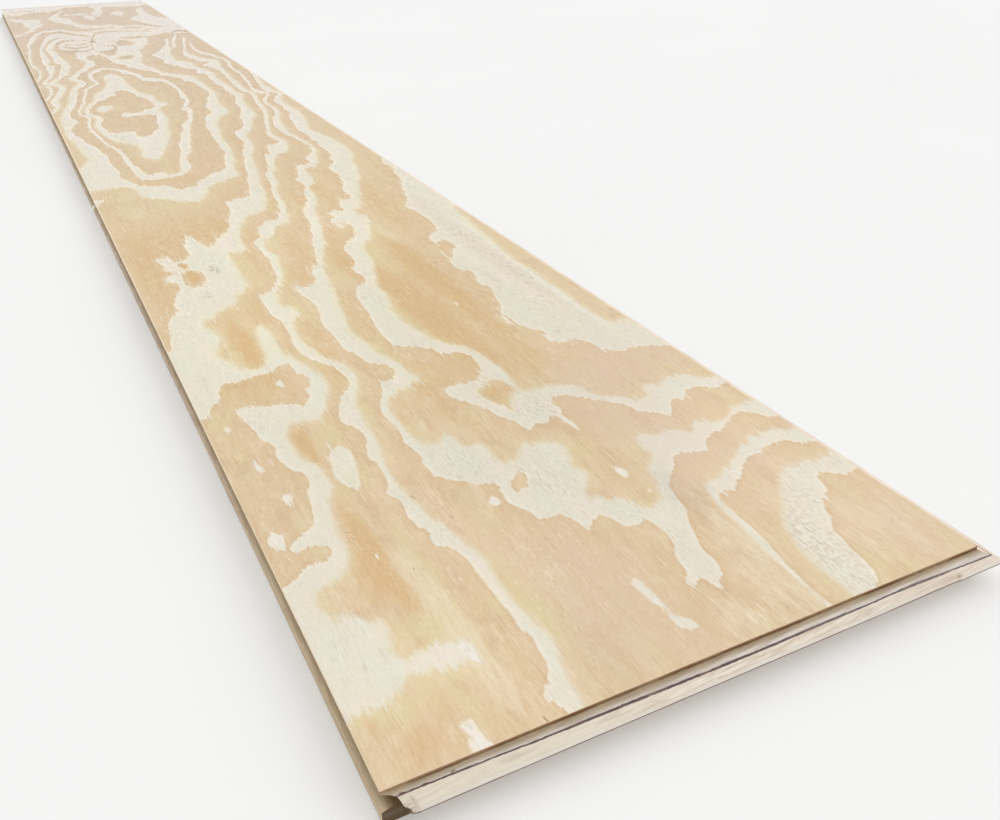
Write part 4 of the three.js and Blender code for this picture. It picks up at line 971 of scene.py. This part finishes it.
    # ... and cleaner, whiter wood just inside it
    inner = n.mul(n.map(n.m("DIVIDE", d1, rimw), 3.2, 0.6), pale, n.map(n.add(line, blotch), 0.45, -0.15, 0.5, 1.0), n.m("SUBTRACT", 1.0, n.mul(n.map(soft, 0.2, 0.7), n.map(X, 1150, 1500, 1.0, 0.5))))
    col = n.mix(n.mul(inner, n.map(X, 100, 1200, 0.35, 1.0)), col, n.mix(n.map(hue, -0.15, 0.15), srgb(249, 235, 206), srgb(248, 238, 220)))
    # bleached streaks over the tan
    bl = part(bleach, line, 0.9)
    col = n.mix(n.mul(bl, in_tan, n.map(line, -0.25, 0.25, 0.35, 1.0), 0.75), col, srgb(235, 220, 190))
    # fibres: light torn ones and dark ones
    lf = n.mul(n.map(line, 0.06, 0.30), n.map(n.add(bleach, n.mul(hue, 0.8)), -0.2, 0.7, 0.35, 1.0), n.map(busy, 0.15, 1.3, 0.5, 1.15), n.map(X, 60, 300, 0.6, 1.0))
    col = n.mix(n.mul(lf, n.map(pale, 0, 1, 0.52, 0.30, False)), col, n.mix(pale, srgb(241, 222, 190), srgb(243, 238, 226)))
    df = n.mul(n.map(line2, 0.06, 0.30), n.map(X, 60, 300, 0.55, 1.0), n.map(busy, 0.15, 1.3, 0.35, 1.1), n.map(pale, 0, 1, 0.42, n.add(0.15, n.mul(dashed, 0.5)), False))
    col = n.mix(df, col, n.mix(pale, srgb(203, 172, 132), srgb(203, 193, 172)))
    col = n.mix(n.mul(n.map(torn, 0.05, 0.32), n.mul(pale, n.add(n.mul(busy, 0.20), n.mul(n.m("MAXIMUM", dashed, ripple), 0.75)))), col, srgb(190, 179, 152))
    ff = n.mul(n.map(fleck, 0.13, 0.33), n.map(n.add(hue, n.mul(bleach, 0.5)), -0.1, 0.35, 0.4, 1.0), busy)
    col = n.mix(n.mul(ff, n.map(pale, 0, 1, 0.62, 0.45, False)), col, n.mix(pale, srgb(245, 228, 194), srgb(248, 243, 233)))
    fd = n.mul(n.map(fleck, -0.16, -0.36), busy)
    col = n.mix(n.mul(fd, n.map(pale, 0, 1, 0.50, 0.28, False)), col, n.mix(pale, srgb(204, 172, 132), srgb(208, 200, 182)))
    dd = n.map(dash, 0.12, 0.42)
    col = n.mix(n.mul(dd, busy, n.map(pale, 0, 1, 0.24, n.add(0.12, n.mul(dashed, 0.4)), False)), col, n.mix(pale, srgb(198, 164, 122), srgb(198, 188, 168)))
    col = n.mix(n.mul(n.map(micro, 0.08, 0.42, 0.0, 0.22), busy), col, n.mix(pale, srgb(243, 226, 198), srgb(246, 242, 232)))
    hair = n.mul(n.map(thread, 0.20, 0.40), n.map(n.add(cell, zone), -0.15, 0.35))
    col = n.mix(n.mul(hair, n.map(pale, 0, 1, 0.85, 0.40, False), n.map(X, 1100, 600)), col, n.mix(pale, srgb(244, 226, 194), srgb(249, 245, 236)))
    sinew = n.mul(n.map(thread, -0.22, -0.42), n.map(n.add(cell, zone), 0.1, -0.35))
    col = n.mix(n.mul(sinew, n.map(pale, 0, 1, 0.60, 0.34, False), n.map(X, 1100, 600)), col, n.mix(pale, srgb(196, 160, 118), srgb(202, 190, 166)))
    spark = n.mul(n.map(torn, 0.22, 0.42), n.map(X, 330, 600), n.map(X, 1500, 1100), n.map(n.add(zone, cell), -0.1, 0.4))
    col = n.mix(n.mul(spark, n.map(pale, 0, 1, 0.7, 0.3, False)), col, n.mix(pale, srgb(248, 230, 192), srgb(250, 246, 238)))
    # cross curl, in a few places strong
    both = n.add(n.mul(curl, 0.8), n.mul(cell, 0.35))
    col = n.mix(n.mul(n.map(both, 0.0, 0.28), n.map(pale, 0, 1, 0.20, 0.10, False), 0.85), col, n.mix(pale, srgb(234, 214, 182), srgb(249, 245, 234)))
    col = n.mix(n.mul(n.map(both, 0.0, -0.28), n.map(pale, 0, 1, 0.20, 0.10, False), 0.75), col, n.mix(pale, srgb(209, 182, 144), srgb(203, 195, 173)))
    col = n.mix(n.mul(n.map(net, 0.48, 0.12), ripple, pale, 0.66), col, srgb(244, 239, 227))
    col = n.mix(n.mul(n.map(net, 0.48, 0.80), ripple, pale, 0.52), col, srgb(204, 194, 170))
    # painted sheen: the far end is greyer and less contrasted, as grazing light leaves it
    far = n.map(X, 700, 2300, 0, 1, False)
    col = n.mix(n.mul(far, n.map(pale, 0, 1, 0.36, 0.24, False)), col, n.mix(pale, srgb(208, 198, 190), srgb(231, 221, 211)))
    col = n.mix(n.mul(part(grey, cell), n.map(pale, 0, 1, 0.75, 0.22, False)), col, n.mix(pale, srgb(194, 177, 148), srgb(224, 212, 200)))
    bits = n.mul(n.map(fleck, 0.02, 0.25), n.map(n.m("ABSOLUTE", d1), 5.0, 0.5), n.map(X, 150, 700), n.map(soft, 0.75, 0.2, 0.35, 1.0))
    col = n.mix(n.mul(bits, 0.6), col, srgb(247, 238, 222))
    # everywhere, small lights and darks; coarser ones tell from farther off
    bright = n.map(flake, 0.10, 0.36)
    dull = n.map(flake, -0.12, -0.38)
    t = n.add(n.mul(grit, n.map(X, 0, 140, 0.05, 0.13), n.map(X, 1000, 550), busy), n.mul(line2, n.map(X, 150, 500, 0.02, 0.11), n.map(X, 1700, 1000, 0.1, 1.0)),
              n.mul(n.add(bright, n.mul(dull, -0.75)), n.map(X, 120, 420, 0.01, 0.11), n.map(X, 1000, 1700, 1.0, 0.6), busy),
              n.mul(cloud, away, 0.16), n.mul(n.add(zone, line), pale, n.map(X, 250, 700, 0.0, 0.07), n.map(X, 1500, 1000)), n.mul(speck, n.map(X, 350, 750, 0.0, 0.11), n.map(X, 1600, 1100, 0.1, 1.0)), n.mul(jag, n.map(X, 800, 1300, 0.0, 0.15)))
    # the painted light and shade of the broad patches scales the colour here
    all1 = n.add(lit, 1.0)
    # the bluer far end in the third channel is part of the same painted sheen
    col = n.mix(1.0, col, n.vec(n.add(t, all1), n.add(n.mul(t, 1.08), all1), n.add(n.mul(t, 1.32), all1, n.mul(n.map(X, 150, 420, 0.0, -0.032), n.map(X, 1100, 700)), n.map(X, 1100, 2200, 0.01, 0.06))), "MULTIPLY")
    # single marks
    warp = n.v("ADD", P, n.vec(n.mul(blotch, 3.0), n.mul(line, 1.2), 0.0))
    col = n.mix(marks(n, warp, on_face(DARK_MARKS)), col, srgb(126, 98, 72))
    col = n.mix(marks(n, warp, on_face(LIGHT_MARKS)), col, srgb(246, 240, 228))
    col = n.mix(n.mul(marks(n, warp, on_face(STREAKS)), n.map(n.add(line, torn), -0.35, 0.2, 0.15, 0.9)), col, srgb(243, 229, 206))
    # painted highlight: the eased edge, and a band along the left edge of the face, made lighter as where light catches
    # them
    col = n.mix(n.map(h, 0.0, 0.2, 0.0, 0.55), col, srgb(241, 218, 190))
    left_edge_highlight = n.map(n.m("DIVIDE", n.m("SUBTRACT", 156.75, y), n.map(X, 0, 900, 0.6, 2.0, False)), 1.0, 0.35)
    col = n.mix(n.mul(left_edge_highlight, n.map(X, -5, 500, 0.45, 0.9), n.map(line, -0.35, 0.1, 0.45, 1.0)), col, srgb(250, 234, 204))

    # the relief needs the rings only roughly, and fewer noises make it quicker
    low = n.map(d, -1.5, 1.5)
    height = n.add(n.mul(line, 0.35), n.mul(line2, -0.3), n.mul(dash, -0.2), n.mul(micro, 0.25), n.mul(grit, 0.24), n.mul(both, n.map(low, 0, 1, 0.40, 0.20, False)), n.mul(net, ripple, low, -1.0), n.mul(low, -0.3))
    rough = n.add(0.62, n.mul(line2, 0.12), n.mul(pale, 0.10))
    return n.finish(col, rough, height, 0.00024, 0.22)


# glue lines, as depths below the face
GLUES = (3.5, 8.15, 12.1, 14.9)


def edge_material(name, end):
    """The sawn and machined edges: layers by depth. end: the face's grain points out of this edge."""
    n = Net(name)
    P = n.where()
    x, y, z = n.xyz(P)
    ply, tear, h = n.attr("ply")
    run, out = (y, x) if end else (x, y)
    proud = n.m("SUBTRACT", n.mul(out, -1.0), 1215.75 if end else 148.25)      # how far out on the tongue
    on_tongue = n.map(proud, 0.10, 0.45)
    wander = n.noise(n.vec(n.mul(run, 0.03), n.mul(out, 0.05), 2.0), detail=4, rough=0.6, signed=True)
    feather = n.noise(n.vec(n.mul(run, 0.5), n.mul(out, 0.7), n.mul(z, 0.7)), detail=3, signed=True)
    deep = n.add(ply, n.mul(wander, 0.22), n.mul(feather, 0.09))
    first = n.m("SUBTRACT", 1.0, n.map(deep, GLUES[0] - 0.1, GLUES[0] + 0.1))
    odd = None
    for g in GLUES:
        step = n.map(deep, g - 0.1, g + 0.1)
        odd = step if odd is None else n.m("ABSOLUTE", n.m("SUBTRACT", odd, step))
    long_grain = odd if end else n.m("SUBTRACT", 1.0, odd)
    # fibres run nearly along the edge, a few degrees off it
    skew = n.add(n.mul(out, 1.0), n.mul(run, 0.07))
    fib = n.noise(n.vec(n.mul(run, 0.045), n.mul(skew, 0.9), n.mul(z, 1.3)), detail=4, rough=0.65, signed=True)
    fib2 = n.noise(n.vec(n.mul(run, 0.12), n.mul(skew, 2.6), n.mul(z, 3.0)), detail=3, rough=0.62, signed=True)
    stain = n.noise(n.vec(n.mul(run, 0.02), n.mul(skew, 0.22), n.mul(z, 0.3)), detail=3, rough=0.6, signed=True)
    pore = n.noise(n.vec(n.mul(run, 1.3), n.mul(out, 0.8), n.mul(z, 2.4)), detail=4, rough=0.7, signed=True)
    rings = n.noise(n.vec(n.mul(run, 0.09), n.mul(out, 0.05), n.mul(z, 1.2)), detail=3, rough=0.6, signed=True)
    # long grain
    flame = n.noise(n.vec(n.mul(run, 0.030), n.mul(skew, 0.45), n.mul(z, 0.6)), detail=4, rough=0.7, distort=0.6, signed=True)
    a = n.mix(n.map(fib, -0.3, 0.3), srgb(238, 229, 214), srgb(225, 211, 191))
    calm = n.map(y, 80, 0, 0.25, 0.8) if end else 1.0
    a = n.mix(n.mul(n.map(flame, 0.05, 0.30, 0.0, 0.55), calm), a, srgb(212, 192, 168))
    a = n.mix(n.mul(n.map(flame, -0.08, -0.32, 0.0, 0.75), calm), a, srgb(249, 242, 228))
    a = n.mix(n.mul(n.map(stain, -0.05, 0.3, 0.0, 0.65), calm), a, srgb(231, 211, 198))
    a = n.mix(n.map(fib2, 0.05, 0.4, 0.0, 0.28), a, srgb(196, 176, 152))
    a = n.mix(n.map(fib2, -0.1, -0.4, 0.0, 0.30), a, srgb(245, 239, 227))
    if end:
        a = n.mix(n.map(y, 20, 90, 0.0, 0.6), a, srgb(229, 219, 200))
    if not end:
        a = n.mix(n.mul(n.m("SUBTRACT", 1.0, on_tongue), 0.8), a, n.mix(n.map(fib, -0.3, 0.3), srgb(221, 200, 162), srgb(204, 178, 138)))
    # end grain
    b = n.mix(n.map(pore, -0.35, 0.35), srgb(202, 172, 136), srgb(170, 136, 102))
    b = n.mix(n.map(rings, 0.0, 0.35, 0.0, 0.6), b, srgb(150, 112, 80))
    b = n.mix(on_tongue, b, n.mix(n.map(n.add(fib, pore), -0.35, 0.35), srgb(228, 218, 202), srgb(208, 196, 176)))
    col = n.mix(long_grain, b, a)
    # the lip's reddish brown cut, with darker lengths
    lip = n.mul(n.map(h, 0.30, 0.60), n.m("SUBTRACT", 1.0, n.map(h, 1.45, 1.75)), n.m("SUBTRACT", 1.0, on_tongue))
    ledge_shade = n.mul(n.map(h, 1.45, 1.75), n.m("SUBTRACT", 1.0, n.map(h, 2.25, 3.15)))
    if end:
        lipcol = n.mix(n.map(n.add(rings, stain), -0.3, 0.35), srgb(178, 142, 106), srgb(142, 100, 70))
        lipcol = n.mix(n.map(y, 130.0, 152.0), lipcol, srgb(158, 124, 88))
        shelf = n.mul(n.map(h, 1.9, 2.5), n.m("SUBTRACT", 1.0, n.map(deep, 3.4, 3.7)))
        col = n.mix(n.mul(shelf, 0.5), col, n.mix(n.map(n.add(flame, fib), -0.25, 0.25), srgb(230, 222, 216), srgb(204, 192, 189)))
        # painted shade: darker olive just below the lip, where the lip shades the tongue's top
        col = n.mix(n.mul(ledge_shade, 0.8), col, srgb(172, 154, 126))
        # painted shade: the tongue's top close behind the lip darkened, more so to the right
        shade = n.mul(n.map(proud, 3.4, 0.1), n.map(h, 1.5, 1.9), n.m("SUBTRACT", 1.0, n.map(h, 3.8, 4.4)), n.map(y, 150, 60, 0.25, 0.85))
        col = n.mix(shade, col, n.mix(n.map(n.add(fib, stain), -0.3, 0.3), srgb(186, 166, 134), srgb(160, 138, 106)))
        col = n.mix(n.mul(lip, 0.92), col, n.mix(n.map(pore, -0.2, 0.4, 0.0, 0.5), lipcol, srgb(124, 86, 58)))
        # painted shadow: a dark line along the bottom of the lip, broken up by stain noise
        lip_foot_shadow = n.mul(n.map(n.m("ABSOLUTE", n.m("SUBTRACT", h, 1.68)), n.map(y, 60, -30, 0.58, 0.80), 0.25), n.m("SUBTRACT", 1.0, on_tongue), n.map(n.add(stain, n.mul(rings, 0.5)), -0.35, 0.2, 0.35, 0.9), n.map(y, 154, 130))
        col = n.mix(lip_foot_shadow, col, n.mix(n.map(y, 20, -40), srgb(98, 66, 44), srgb(88, 54, 34)))
    else:
        # painted highlight: the tongue on the right side made near white, as light from the right falls on it
        right_tongue_highlight = n.mul(on_tongue, n.map(y, -140, -147.5), n.m("SUBTRACT", 1.0, n.map(h, 8.0, 10.0)))
        col = n.mix(n.mul(right_tongue_highlight, 0.7), col, n.mix(n.map(fib, -0.3, 0.3), srgb(252, 236, 220), srgb(242, 220, 200)))
        col = n.mix(n.mul(lip, 0.7), col, n.mix(n.map(fib, -0.3, 0.3), srgb(206, 182, 142), srgb(180, 154, 116)))
    if end:
        lowply = n.mul(n.map(deep, 3.7, 4.1), on_tongue)
        col = n.mix(n.mul(lowply, n.map(n.add(fib, n.mul(flame, 0.8)), -0.05, -0.35), n.map(y, 90, 10, 0.05, 0.55)), col, srgb(246, 238, 222))
        col = n.mix(n.mul(lowply, n.map(n.add(fib, n.mul(flame, 0.8)), 0.05, 0.35), n.map(y, 90, 10, 0.05, 0.45)), col, srgb(206, 186, 160))
        col = n.mix(n.mul(lowply, n.map(y, -40, -120), 0.45), col, srgb(236, 216, 206))
    # glue lines
    thick = n.add(0.12, n.mul(n.noise(n.vec(n.mul(run, 0.05), 3.0, 1.0), detail=4, rough=0.65, signed=True), 0.12))
    if end:
        thick = n.add(thick, n.map(n.m("ABSOLUTE", n.add(y, 106.0)), 30.0, 6.0, 0.0, 0.08), n.map(n.m("ABSOLUTE", n.add(y, -10.0)), 95.0, 50.0, 0.0, 0.07))
    line = None
    for g in GLUES:
        w = n.m("ABSOLUTE", n.m("SUBTRACT", deep, g))
        one = n.map(n.m("SUBTRACT", w, thick), 0.05, -0.05)
        line = one if line is None else n.m("MAXIMUM", line, one)
    broken = n.map(n.noise(n.vec(n.mul(run, 0.25), n.mul(out, 0.25), n.mul(z, 1.0)), detail=3), 0.30, 0.50)
    col = n.mix(n.mul(line, n.map(broken, 0, 1, 0.86, 0.97, False)), col, n.mix(n.map(y, -60, -10), n.mix(n.map(stain, -0.3, 0.3), srgb(120, 103, 109), srgb(101, 89, 92)), srgb(95, 73, 74)) if end else srgb(98, 78, 72))
    # dirt and handling; then painted light on the tongue's front, and painted shade low on the end and sides, in torn
    # crease lines and in the groove
    dirt = n.noise(n.vec(n.mul(run, 0.05), n.mul(out, 0.3), n.mul(z, 0.3)), detail=4, signed=True)
    col = n.mix(n.map(dirt, 0.05, 0.4, 0.0, 0.25), col, srgb(160, 138, 116))
    # painted light: the front of the tongue's nose made lighter, as light from the front falls on it
    nose = n.mul(n.map(h, 5.35, 5.8), n.m("SUBTRACT", 1.0, n.map(h, 7.7, 8.1)), n.map(proud, 7.0, 8.0))
    col = n.mix(n.mul(nose, 0.6), col, srgb(247, 241, 231))
    under = n.mul(n.map(h, 7.75, 8.15), n.m("SUBTRACT", 1.0, n.map(h, 9.2, 10.0)), n.map(proud, 7.0, 8.0))
    col = n.mix(n.mul(under, 0.85), col, srgb(112, 84, 62))
    if end:
        # painted shade: the end face darker towards its bottom
        col = n.mix(n.map(h, 11.5, 17.9, 0.0, 0.55), col, srgb(142, 122, 100))
        col = n.mix(n.mul(tear, n.map(feather, -0.4, 0.5), 0.30), col, srgb(206, 184, 154))
        spots = (( -1217.8, 148.6, 0.45, 1.9, -12, .85), (-1217.9, 140.2, 0.5, 1.7, 0, .8), (-1217.4, 128.8, 0.4, 1.2, 10, .7), (-1218.9, 90.0, 0.35, 0.9, 0, .5))
        col = n.mix(n.mul(marks(n, P, spots), on_tongue), col, srgb(104, 74, 66))
        # painted shade: dark lines in the folds of the torn tongue end
        crease_shade = ((-1222.7, 150.4, 0.30, 1.7, 8, .8), (-1221.5, 148.3, 0.22, 2.4, -6, .45), (-1220.6, 146.3, 1.6, 0.16, 20, .4), (-1223.9, 147.9, 0.5, 1.4, 0, .7))
        col = n.mix(n.mul(marks(n, n.v("ADD", P, n.vec(n.mul(feather, 0.8), n.mul(wander, 0.8), 0.0)), crease_shade), on_tongue), col, srgb(150, 124, 92))
        # painted shade: the groove's open end at the near left corner, and the end face below it, made very dark
        groove_end_shade = n.mul(marks(n, P, ((-1215.75, 154.0, 9.6, 11.5, 0, .92),)), n.map(h, 5.6, 7.6))
        col = n.mix(groove_end_shade, col, n.mix(n.map(h, 7.0, 14.0), srgb(74, 50, 28), srgb(96, 76, 52)))
    else:
        left = n.map(y, 100, 140)
        run_x = n.m("SUBTRACT", x, OFF_X)
        faraway = n.map(run_x, 60, 420)
        v = n.map(n.add(fib, stain), -0.3, 0.3)
        lower = n.mul(n.map(h, 10.6, 11.6), left)
        low = n.mix(faraway, n.mix(v, srgb(226, 206, 172), srgb(206, 184, 150)), n.mix(v, srgb(232, 212, 188), srgb(196, 172, 148)))
        col = n.mix(n.mul(lower, 0.88), col, low)
        # painted shade: the sides darker along their bottom edge, where they meet the floor
        bottom_edge_shade = n.mul(n.map(h, 16.6, 17.8), n.map(stain, -0.2, 0.3, 0.3, 1.0))
        col = n.mix(n.mul(bottom_edge_shade, 0.7), col, srgb(140, 112, 86))
        top_lip = n.mul(n.m("SUBTRACT", 1.0, n.map(h, 2.0, 2.4)), n.map(h, 0.25, 0.55), left)
        col = n.mix(n.mul(top_lip, 0.9), col, n.mix(faraway, n.mix(v, srgb(196, 164, 124), srgb(176, 144, 106)), n.mix(v, srgb(176, 152, 126), srgb(140, 112, 80))))
        # painted shade: deep inside the groove, dark brown, darker towards its back
        col = n.mix(n.mul(n.map(y, 156.7, 151.0), left, 0.9), col, n.mix(faraway, srgb(118, 92, 58), srgb(84, 62, 40)))
        nick = n.m("ABSOLUTE", n.m("SUBTRACT", run_x, n.add(793.0, n.mul(h, 2.28))))
        col = n.mix(n.mul(n.map(nick, 6.5, 2.4), left), col, srgb(255, 246, 238))
    height = n.add(n.mul(fib, 0.6), n.mul(fib2, 0.5), n.mul(pore, 0.3), n.mul(line, -0.5))
    rough = n.add(0.72, n.mul(fib2, 0.08), n.mul(line, 0.05))
    return n.finish(col, rough, height, 0.00014, 0.2)


def back_material():
    """The unseen face: the same rotary-cut pine, its figure from a slow field."""
    n = Net("pine_back")
    P = n.where()
    x, y, z = n.xyz(P)
    drift = n.noise(n.vec(n.mul(x, 0.004), n.mul(y, 0.012), 20.3), detail=2, signed=True)
    yy = n.add(y, n.mul(drift, 6.0))

    def streak(fx, fy, seed, detail=3, rough=0.6, distort=0.0):
        return n.noise(n.vec(n.mul(x, fx), n.mul(yy, fy), seed), detail=detail, rough=rough, distort=distort, signed=True)

    hill = n.noise(n.vec(n.mul(x, 0.0017), n.mul(y, 0.0068), 31.0), detail=2, rough=0.45, distort=0.5, signed=True)
    tooth = streak(0.035, 0.33, 32.0, 4, 0.7)
    blotch = streak(0.03, 0.09, 34.0, 3, 0.6)
    hue = streak(0.012, 0.04, 35.0, 3, 0.6)
    line = streak(0.03, 0.30, 36.0, 4, 0.8)
    fine = streak(0.07, 1.3, 37.0, 3, 0.7)
    f = n.add(n.mul(hill, 7.5), n.mul(x, 0.0009), n.mul(y, 0.004), n.mul(tooth, 0.09), n.mul(blotch, 0.10), 9.0)
    saw = n.m("FRACT", f)
    crisp = n.map(saw, 0.0, 0.025)
    slow = n.map(n.add(saw, n.mul(line, 0.12)), 0.34, 0.56, 1.0, 0.0)
    pale = n.mul(crisp, slow)
    tan = n.mix(n.map(hue, -0.3, 0.3), srgb(224, 198, 158), srgb(227, 205, 168))
    tan = n.mix(n.map(blotch, 0.05, 0.35, 0.0, 0.6), tan, srgb(213, 182, 143))
    light = n.mix(n.map(blotch, -0.3, 0.3), srgb(237, 229, 211), srgb(229, 222, 202))
    col = n.mix(pale, tan, light)
    col = n.mix(n.mul(n.map(saw, 0.93, 1.0), 0.45), col, srgb(202, 168, 130))
    col = n.mix(n.mul(n.map(line, 0.06, 0.32), 0.45), col, n.mix(pale, srgb(240, 222, 190), srgb(244, 238, 226)))
    col = n.mix(n.mul(n.map(line, -0.06, -0.32), 0.35), col, n.mix(pale, srgb(203, 172, 132), srgb(206, 196, 176)))
    col = n.mix(n.mul(n.map(fine, 0.10, 0.40), 0.35), col, srgb(198, 166, 126))
    col = n.mix(n.mul(n.map(fine, -0.10, -0.40), 0.30), col, srgb(243, 234, 214))
    height = n.add(n.mul(line, 0.5), n.mul(fine, 0.6), n.mul(pale, -0.3))
    rough = n.add(0.66, n.mul(fine, 0.10), n.mul(pale, 0.06))
    return n.finish(col, rough, height, 0.00022, 0.22)


board = make_board()
for mat in (face_material(), edge_material("pine_edge_end", True), edge_material("pine_edge_side", False), back_material()):
    board.data.materials.append(mat)
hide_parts("plywood_sheet")
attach(board, "root")


# ---------------------------------------------------------------- floor, light, camera
def floor():
    mesh = bpy.data.meshes.new("floor")
    r = 30.0
    mesh.from_pydata([(-r, -r, -0.0002), (r, -r, -0.0002), (r, r, -0.0002), (-r, r, -0.0002)], [], [(0, 1, 2, 3)])
    obj = bpy.data.objects.new("floor", mesh)
    bpy.context.scene.collection.objects.link(obj)
    n = Net("floor_paint")
    P = n.where()
    soft = n.noise(n.v("SCALE", P, scale=0.002), detail=3, signed=True)
    grain = n.noise(n.v("SCALE", P, scale=0.4), detail=2, signed=True)
    col = n.mix(n.map(soft, -0.8, 0.8), srgb(243, 243, 242), srgb(247, 247, 246))
    mat = n.finish(n.mix(0.22, col, srgb(0, 0, 0)), n.add(0.85, n.mul(grain, 0.03)), grain, 0.00002, 0.1)
    bsdf = [k for k in n.t.nodes if k.type == "BSDF_PRINCIPLED"][0]
    bsdf.inputs["Emission Color"].default_value = (1.0, 1.0, 1.0, 1.0)
    bsdf.inputs["Emission Strength"].default_value = 0.20
    mesh.materials.append(mat)


floor()

scene = bpy.context.scene
scene.view_settings.view_transform = "Standard"
world = bpy.data.worlds.new("studio")
world.use_nodes = True
world.node_tree.nodes["Background"].inputs[0].default_value = (1.0, 1.0, 1.0, 1.0)
world.node_tree.nodes["Background"].inputs[1].default_value = 0.548
scene.world = world


def sun(name, power, angle, to):
    data = bpy.data.lights.new(name, "SUN")
    data.energy = power
    data.angle = math.radians(angle)
    obj = bpy.data.objects.new(name, data)
    bpy.context.scene.collection.objects.link(obj)
    z = -np.array(to, float) / np.linalg.norm(to)
    xax = np.cross((0, 1, 0), z)
    xax /= np.linalg.norm(xax)
    yax = np.cross(z, xax)
    obj.matrix_world = Matrix([[xax[i], yax[i], z[i], 0] for i in range(3)] + [[0, 0, 0, 1]])
    return obj


sun("softbox_above", 1.325, 105.0, (-0.35, 0.25, -1.0))
sun("fill_from_the_front", 0.46, 50.0, (0.8, 0.42, -0.45))


def rotation(r):
    th = math.sqrt(sum(c * c for c in r))
    k = np.array(r) / th
    K = np.array([[0, -k[2], k[1]], [k[2], 0, -k[0]], [-k[1], k[0], 0]])
    return np.eye(3) + math.sin(th) * K + (1 - math.cos(th)) * K @ K


cam_data = bpy.data.cameras.new("camera")
cam = bpy.data.objects.new("camera", cam_data)
scene.collection.objects.link(cam)
CAM_F, CAM_CX, CAM_CY = 991.949, 526.525, 410.000
R = rotation((1.198914, -1.997802, 1.166695))
eye = np.array((-1456.429, 221.292, 309.229)) * 0.001
cam.matrix_world = Matrix([[R[0][i], -R[1][i], -R[2][i], eye[i]] for i in range(3)] + [[0, 0, 0, 1]])
cam_data.sensor_fit = "HORIZONTAL"
cam_data.sensor_width = 36.0
cam_data.lens = 36.0 * CAM_F / 1000.0
cam_data.shift_x = (500.0 - CAM_CX) / 1000.0
cam_data.shift_y = (CAM_CY - 410.0) / 1000.0
cam_data.clip_start, cam_data.clip_end = 0.01, 100.0
scene.camera = cam

bpy.context.view_layer.update()
